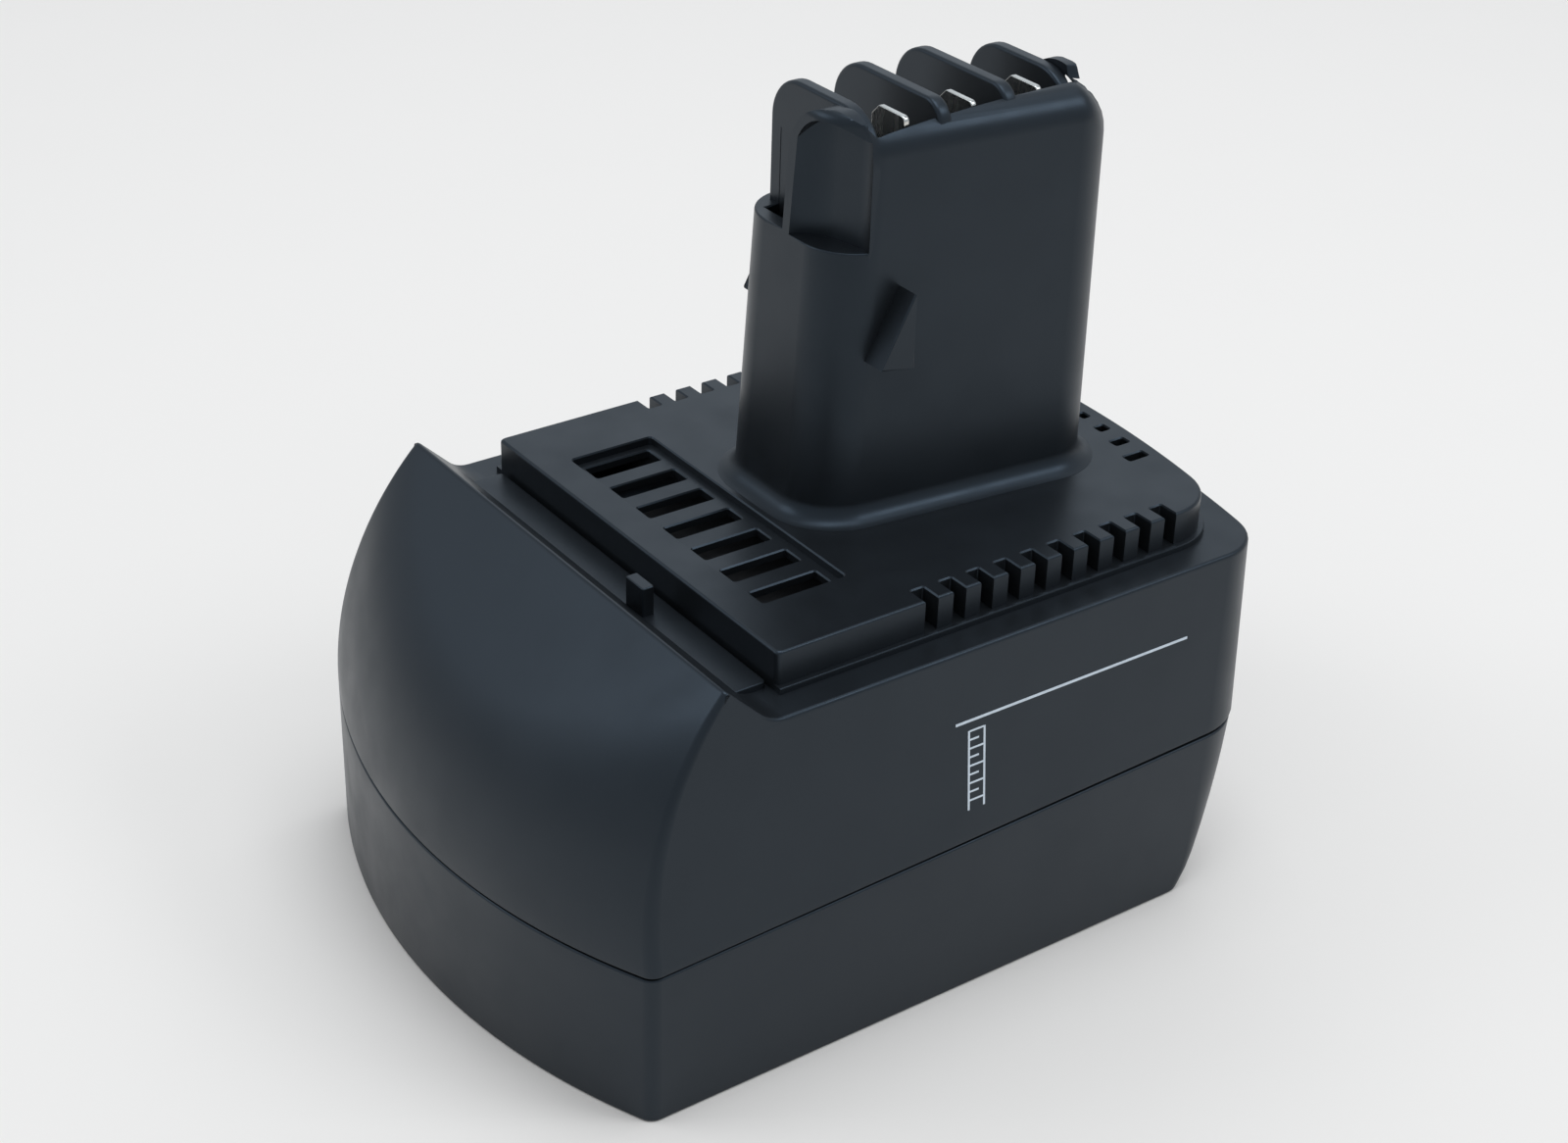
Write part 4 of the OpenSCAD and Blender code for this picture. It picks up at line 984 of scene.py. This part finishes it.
def tower_hollows():
    """The pocket of the tower cell, the wire well, the bed of the carrier and the slits of the blades."""
    roof = deck().step_height - base().wall - 5 * MM
    top, bed_top = 89.15 * MM, 91.9 * MM
    slit_floor, slit_top = 91 * MM, 96 * MM
    pocket, well = 11.5 * MM, 6.5 * MM
    spare = 0.15 * MM
    low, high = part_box("tower_cell")
    middle = (low[1] + high[1]) / 2
    low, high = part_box("contact_carrier")
    bed = oblong(low[0] - 1.8 * MM, high[0] + spare, low[1] - spare, high[1] + spare)
    tools = [
        round_hole(0.0, middle, pocket, roof, top, 64),
        bar("wire_well", oblong(-well, well, 1.5 * MM, middle), "Z", roof, top),
        bar("carrier_bed", bed, "Z", top - 0.1 * MM, bed_top),
    ]
    for node in BLADES:
        low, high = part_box(node)
        y = (low[1] + high[1]) / 2
        left, right = high[0] - BLADE_WIDTH - spare, high[0] + spare
        front, back = y - BLADE_HALF - spare, y + BLADE_HALF + spare
        tools.append(bar("blade_slit", oblong(left, right, front, back), "Z", slit_floor, slit_top))
    return tools


# Steps that build the pieces

class PACK_OT_upper_housing(bpy.types.Operator):
    """Model the upper housing with its deck, tower and contact head"""

    bl_idname = "pack.upper_housing"
    bl_label = "Upper Housing"

    def execute(self, context):
        housing = crowned_shell()
        for tool in (trough_block(), deck_block(), skirt_block(), key_block(), tower_block()):
            combine(housing, tool, "UNION")
        for side in (1, -1):
            combine(housing, catch_block(side), "UNION")
        combine(housing, housing_hollow(), "DIFFERENCE")
        combine(housing, grille_field(), "DIFFERENCE")
        combine(housing, joined("vents", vent_cutters()), "DIFFERENCE")
        for tool in tower_hollows():
            combine(housing, tool, "DIFFERENCE")
        holes = [round_hole(x, y, SCREW_HOLE, 10 * MM, 37 * MM) for x, y in screw_places()]
        combine(housing, joined("screw_holes", holes), "DIFFERENCE")
        housing.name = "upper_housing_moulding"
        material = moulded_plastic("housing_plastic", finish().housing, 0.31, 0.41, 0.012 * MM)
        complete(housing, material, ["upper_housing"])
        return {"FINISHED"}


class PACK_OT_base_tray(bpy.types.Operator):
    """Model the tray under the parting line"""

    bl_idname = "pack.base_tray"
    bl_label = "Base Tray"

    def execute(self, context):
        b = base()
        edge = b.tray_edge
        turns = [pi / 2 * k / 4 for k in range(5)]
        rings = [base_ring(flat(edge * (1 - cos(t))), edge * (1 - sin(t)), True) for t in turns]
        rings += [base_ring(flat(z * MM), 0.0, True) for z in range(3, 20, 2)]
        gap = -b.parting_gap / 2
        lip = b.parting_edge
        rings += [base_ring(along_parting(gap - lip * (1 - cos(t))), lip * (1 - sin(t)), True)
                  for t in (pi / 2, 1.0, 0.5, 0.0)]
        tray = loft("base_tray_moulding", rings)
        snug = b.wall / 2 + 0.5 * MM
        tongue = [base_ring(along_parting(lift), snug, True) for lift in (-6 * MM, b.tongue)]
        combine(tray, loft("tongue", tongue), "UNION")
        hollow = loft("tray_hollow", [base_ring(flat(z * MM), b.wall, True) for z in range(2, 30)])
        below, above = -5 * MM, 40 * MM
        for x, y in screw_places():
            combine(hollow, round_hole(x, y, b.boss, below, above), "DIFFERENCE")
        combine(tray, hollow, "DIFFERENCE")
        over = [base_ring(along_parting(lift), -6 * MM, True) for lift in (gap, 20 * MM)]
        counterbore = ((3.3 * MM, -0.5 * MM), (3.0 * MM, 0.3 * MM), (3.0 * MM, 12 * MM))
        for x, y in screw_places():
            high = round_hole(x, y, b.boss + 0.6 * MM, 15 * MM, above)
            combine(tray, combine(high, loft("boss_limit", over), "INTERSECT"), "DIFFERENCE")
            circles = [stood(arc((x, y), r, 0, 2 * pi, 32)[:-1], "Z", z) for r, z in counterbore]
            combine(tray, loft("counterbore", circles), "DIFFERENCE")
            combine(tray, round_hole(x, y, SCREW_HOLE, 10 * MM, above), "DIFFERENCE")
        material = moulded_plastic("tray_plastic", finish().tray, 0.31, 0.41, 0.012 * MM)
        complete(tray, material, ["base_tray"])
        return {"FINISHED"}


class PACK_OT_contacts(bpy.types.Operator):
    """Model the three contact blades"""

    bl_idname = "pack.contacts"
    bl_label = "Contact Blades"

    def execute(self, context):
        plate = bright_metal("blade_nickel", finish().nickel, 0.18, 0.32, (1.0, 1.0, 0.08))
        clip, corner, turn = 1.3 * MM, 0.7 * MM, 0.5 * MM
        for node in BLADES:
            low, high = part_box(node)
            y = (low[1] + high[1]) / 2
            left, right, top = high[0] - BLADE_WIDTH, high[0], high[2]
            start = low[2] + 0.2 * MM
            corners = [(left, start, 0.0), (right, start, 0.0), (right, top, corner),
                       (left + clip, top, turn), (left, top - clip, turn)]
            blade = bar(node + "_plate", corners, "Y", y - BLADE_HALF, y + BLADE_HALF, 0.16 * MM, 8)
            outline = oblong(low[0], right, low[1], high[1], 0.4 * MM)
            foot = bar("foot", outline, "Z", low[2], low[2] + 0.6 * MM, 0.1 * MM, 4)
            complete(combine(blade, foot, "UNION"), plate, [node])
        return {"FINISHED"}


class PACK_OT_case_screws(bpy.types.Operator):
    """Model the case screws in their counterbores"""

    bl_idname = "pack.case_screws"
    bl_label = "Case Screws"

    def execute(self, context):
        seat = 12 * MM
        profile = [(2.5, -2.2), (2.8, -1.9), (2.8, -0.3), (2.6, 0.0), (1.5, 0.0)]
        thread = [(1.5 - 0.22 * (k % 2), 0.6 + 0.5 * k) for k in range(42)]
        tip = [(1.1, 21.9), (0.4, 24.0)]
        screws = []
        for x, y in screw_places():
            rings = [stood(arc((x, y), r * MM, 0, 2 * pi, 24)[:-1], "Z", seat + z * MM)
                     for r, z in profile + thread + tip]
            screw = loft("case_screw", rings)
            drive = round_hole(x, y, 1.3 * MM, seat - 3 * MM, seat - 0.9 * MM, 6)
            screws.append(combine(screw, drive, "DIFFERENCE"))
        steel = bright_metal("screw_steel", finish().steel, 0.25, 0.4, (1.0, 1.0, 0.3))
        complete(joined("case_screw_set", screws), steel, ["case_screws"])
        return {"FINISHED"}


class PACK_OT_inner_finishes(bpy.types.Operator):
    """Finish the cells, strips, cards and the cut-out inside the pack"""

    bl_idname = "pack.inner_finishes"
    bl_label = "Inner Finishes"

    def execute(self, context):
        f = finish()
        nickel = bright_metal("strip_nickel", f.nickel, 0.25, 0.42, (0.1, 1.0, 1.0))
        # The cards carry painted shade: a near-black colour that stands in for the shade inside the pack
        # behind the vents.
        card = pressed_card("painted_shade_card", f.card)
        foam = open_foam("grey_foam", f.foam)
        sleeve = moulded_plastic("strap_sleeve", f.sleeve, 0.5, 0.65, 0.006 * MM)
        phenolic = moulded_plastic("cutout_phenolic", f.carrier, 0.45, 0.6, 0.008 * MM)
        brass = bright_metal("spring_brass", f.brass, 0.28, 0.42, (0.1, 1.0, 1.0))
        finishes = {
            "contact_carrier": moulded_plastic("carrier_plastic", f.carrier, 0.4, 0.55, 0.008 * MM),
            "tower_cell": bright_metal("can_steel", f.steel, 0.24, 0.38, (1.0, 1.0, 0.06)),
            "cell_films": shrink_film("cell_film", f.film),
        }
        finishes.update({f"cell_{i}": finishes["tower_cell"] for i in range(1, 10)})
        finishes.update({n: nickel for n in ("top_links", "bottom_links", "tower_link", "positive_strap")})
        finishes.update({n: sleeve for n in ("negative_strap", "sensor_strap", "ground_strap")})
        finishes.update({n: card for n in ("bottom_card", "top_card", "tower_card")})
        finishes.update({n: foam for n in ("base_pad", "front_pad", "top_pad")})
        finishes.update({n: phenolic for n in ("row_dividers", "cutout_case", "cutout_cover")})
        finishes.update({n: brass for n in ("cutout_disc", "cutout_fixed", "cutout_post", "cutout_arm")})
        for name, material in finishes.items():
            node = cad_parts[name]
            node.data.materials.clear()
            node.data.materials.append(material)
        return {"FINISHED"}


class PACK_OT_side_marks(bpy.types.Operator):
    """Print a plain rule with a ladder of ticks on one side"""

    bl_idname = "pack.side_marks"
    bl_label = "Side Marks"

    def execute(self, context):
        lean = base().side_draft
        thick = 0.03 * MM

        def mark(y0, y1, z0, z1):
            shape = bar("mark", oblong(y0 * MM, y1 * MM, z0 * MM, z1 * MM), "X", 0.0, 2 * thick)
            for vertex in shape.data.vertices:
                side = base().half_width - (vertex.co.z - base().parting_height) * tan(lean)
                vertex.co.x += side - thick
            return shape

        marks = [mark(-0.9, 36.6, 39.5, 39.85)]
        marks += [mark(1.0, 1.3, 27.3, 38.3), mark(3.4, 3.7, 27.3, 38.3)]
        marks += [mark(1.3, 2.7 if k % 2 else 3.4, 28.5 + 1.2 * k, 28.75 + 1.2 * k) for k in range(9)]
        ink = printed_ink("white_ink", finish().marks)
        complete(joined("side_marks", marks), ink, [])
        return {"FINISHED"}


class PACK_OT_stage(bpy.types.Operator):
    """Set the floor, the lights and the camera"""

    bl_idname = "pack.stage"
    bl_label = "Stage"

    def execute(self, context):
        scene = context.scene
        deselect()
        bpy.ops.mesh.primitive_plane_add(size=6.0)
        floor = context.object
        floor.name = "studio_floor"
        material, shader, places = surface("studio_floor")
        tinted(material, shader, noise(material, places, 3.0), finish().ground, 0.004)
        roughened(material, shader, noise(material, places, 40.0), 0.75, 0.85)
        floor.data.materials.append(material)
        scene.view_settings.view_transform = "Standard"
        world = bpy.data.worlds.new("studio_world")
        world.use_nodes = True
        world.node_tree.nodes["Background"].inputs["Color"].default_value = (*finish().light, 1)
        world.node_tree.nodes["Background"].inputs["Strength"].default_value = 0.58
        scene.world = world
        lights = [
            ("top_softbox", (0.05, 0.10, 1.00), 0.60, 3.9),
            ("back_softbox", (-0.60, 0.45, 0.55), 0.50, 0.35),
            ("key_softbox", (-0.45, -0.60, 0.60), 0.40, 1.1),
            ("rim_softbox", (0.50, 0.50, 0.75), 0.30, 1.5),
        ]
        middle = Vector((0.0, 0.0, 0.05))
        for name, place, size, power in lights:
            bpy.ops.object.light_add(type="AREA", location=place)
            light = context.object
            light.name = name
            light.data.size = size
            light.data.energy = power
            light.data.color = finish().light
            light.rotation_euler = (middle - Vector(place)).to_track_quat("-Z", "Y").to_euler()
        turn, lift, roll = radians(54.19), radians(30.14), radians(1.64)
        back = Vector((sin(turn) * cos(lift), -cos(turn) * cos(lift), sin(lift)))
        right = Vector((cos(turn), sin(turn), 0.0))
        up = Vector((-sin(turn) * sin(lift), cos(turn) * sin(lift), cos(lift)))
        across = cos(roll) * right + sin(roll) * up
        upward = back.cross(across)
        bpy.ops.object.camera_add()
        camera = context.object
        camera.name = "studio_camera"
        eye = (236.4 * MM, -173.3 * MM, 212.3 * MM)
        camera.matrix_world = Matrix((
            (across.x, upward.x, back.x, eye[0]),
            (across.y, upward.y, back.y, eye[1]),
            (across.z, upward.z, back.z, eye[2]),
            (0, 0, 0, 1)))
        camera.data.lens = 60.22
        camera.data.sensor_width = 36.0
        camera.data.shift_x = 0.0125
        camera.data.shift_y = 0.0011
        camera.data.clip_start = 0.01
        scene.camera = camera
        return {"FINISHED"}


# Panel and registration

OPERATORS = [
    PACK_OT_upper_housing,
    PACK_OT_base_tray,
    PACK_OT_contacts,
    PACK_OT_case_screws,
    PACK_OT_inner_finishes,
    PACK_OT_side_marks,
    PACK_OT_stage,
]


class PACK_PT_panel(bpy.types.Panel):
    """Lists the steps that dress the battery pack"""

    bl_idname = "PACK_PT_panel"
    bl_label = "Battery Pack"
    bl_space_type = "VIEW_3D"
    bl_region_type = "UI"
    bl_category = "Battery Pack"

    def draw(self, context):
        for step in OPERATORS:
            self.layout.operator(step.bl_idname)


def register():
    """Registers the settings, the steps and the panel."""
    for name, group in SETTINGS.items():
        bpy.utils.register_class(group)
        setattr(bpy.types.Scene, name, bpy.props.PointerProperty(type=group))
    for step in OPERATORS + [PACK_PT_panel]:
        bpy.utils.register_class(step)


def unregister():
    """Removes what register has added."""
    for step in [PACK_PT_panel] + OPERATORS[::-1]:
        bpy.utils.unregister_class(step)
    for name, group in SETTINGS.items():
        delattr(bpy.types.Scene, name)
        bpy.utils.unregister_class(group)


def main():
    """Builds every piece in order."""
    register()
    bpy.ops.pack.upper_housing()
    bpy.ops.pack.base_tray()
    bpy.ops.pack.contacts()
    bpy.ops.pack.case_screws()
    bpy.ops.pack.inner_finishes()
    bpy.ops.pack.side_marks()
    bpy.ops.pack.stage()


if __name__ == "__main__":
    main()
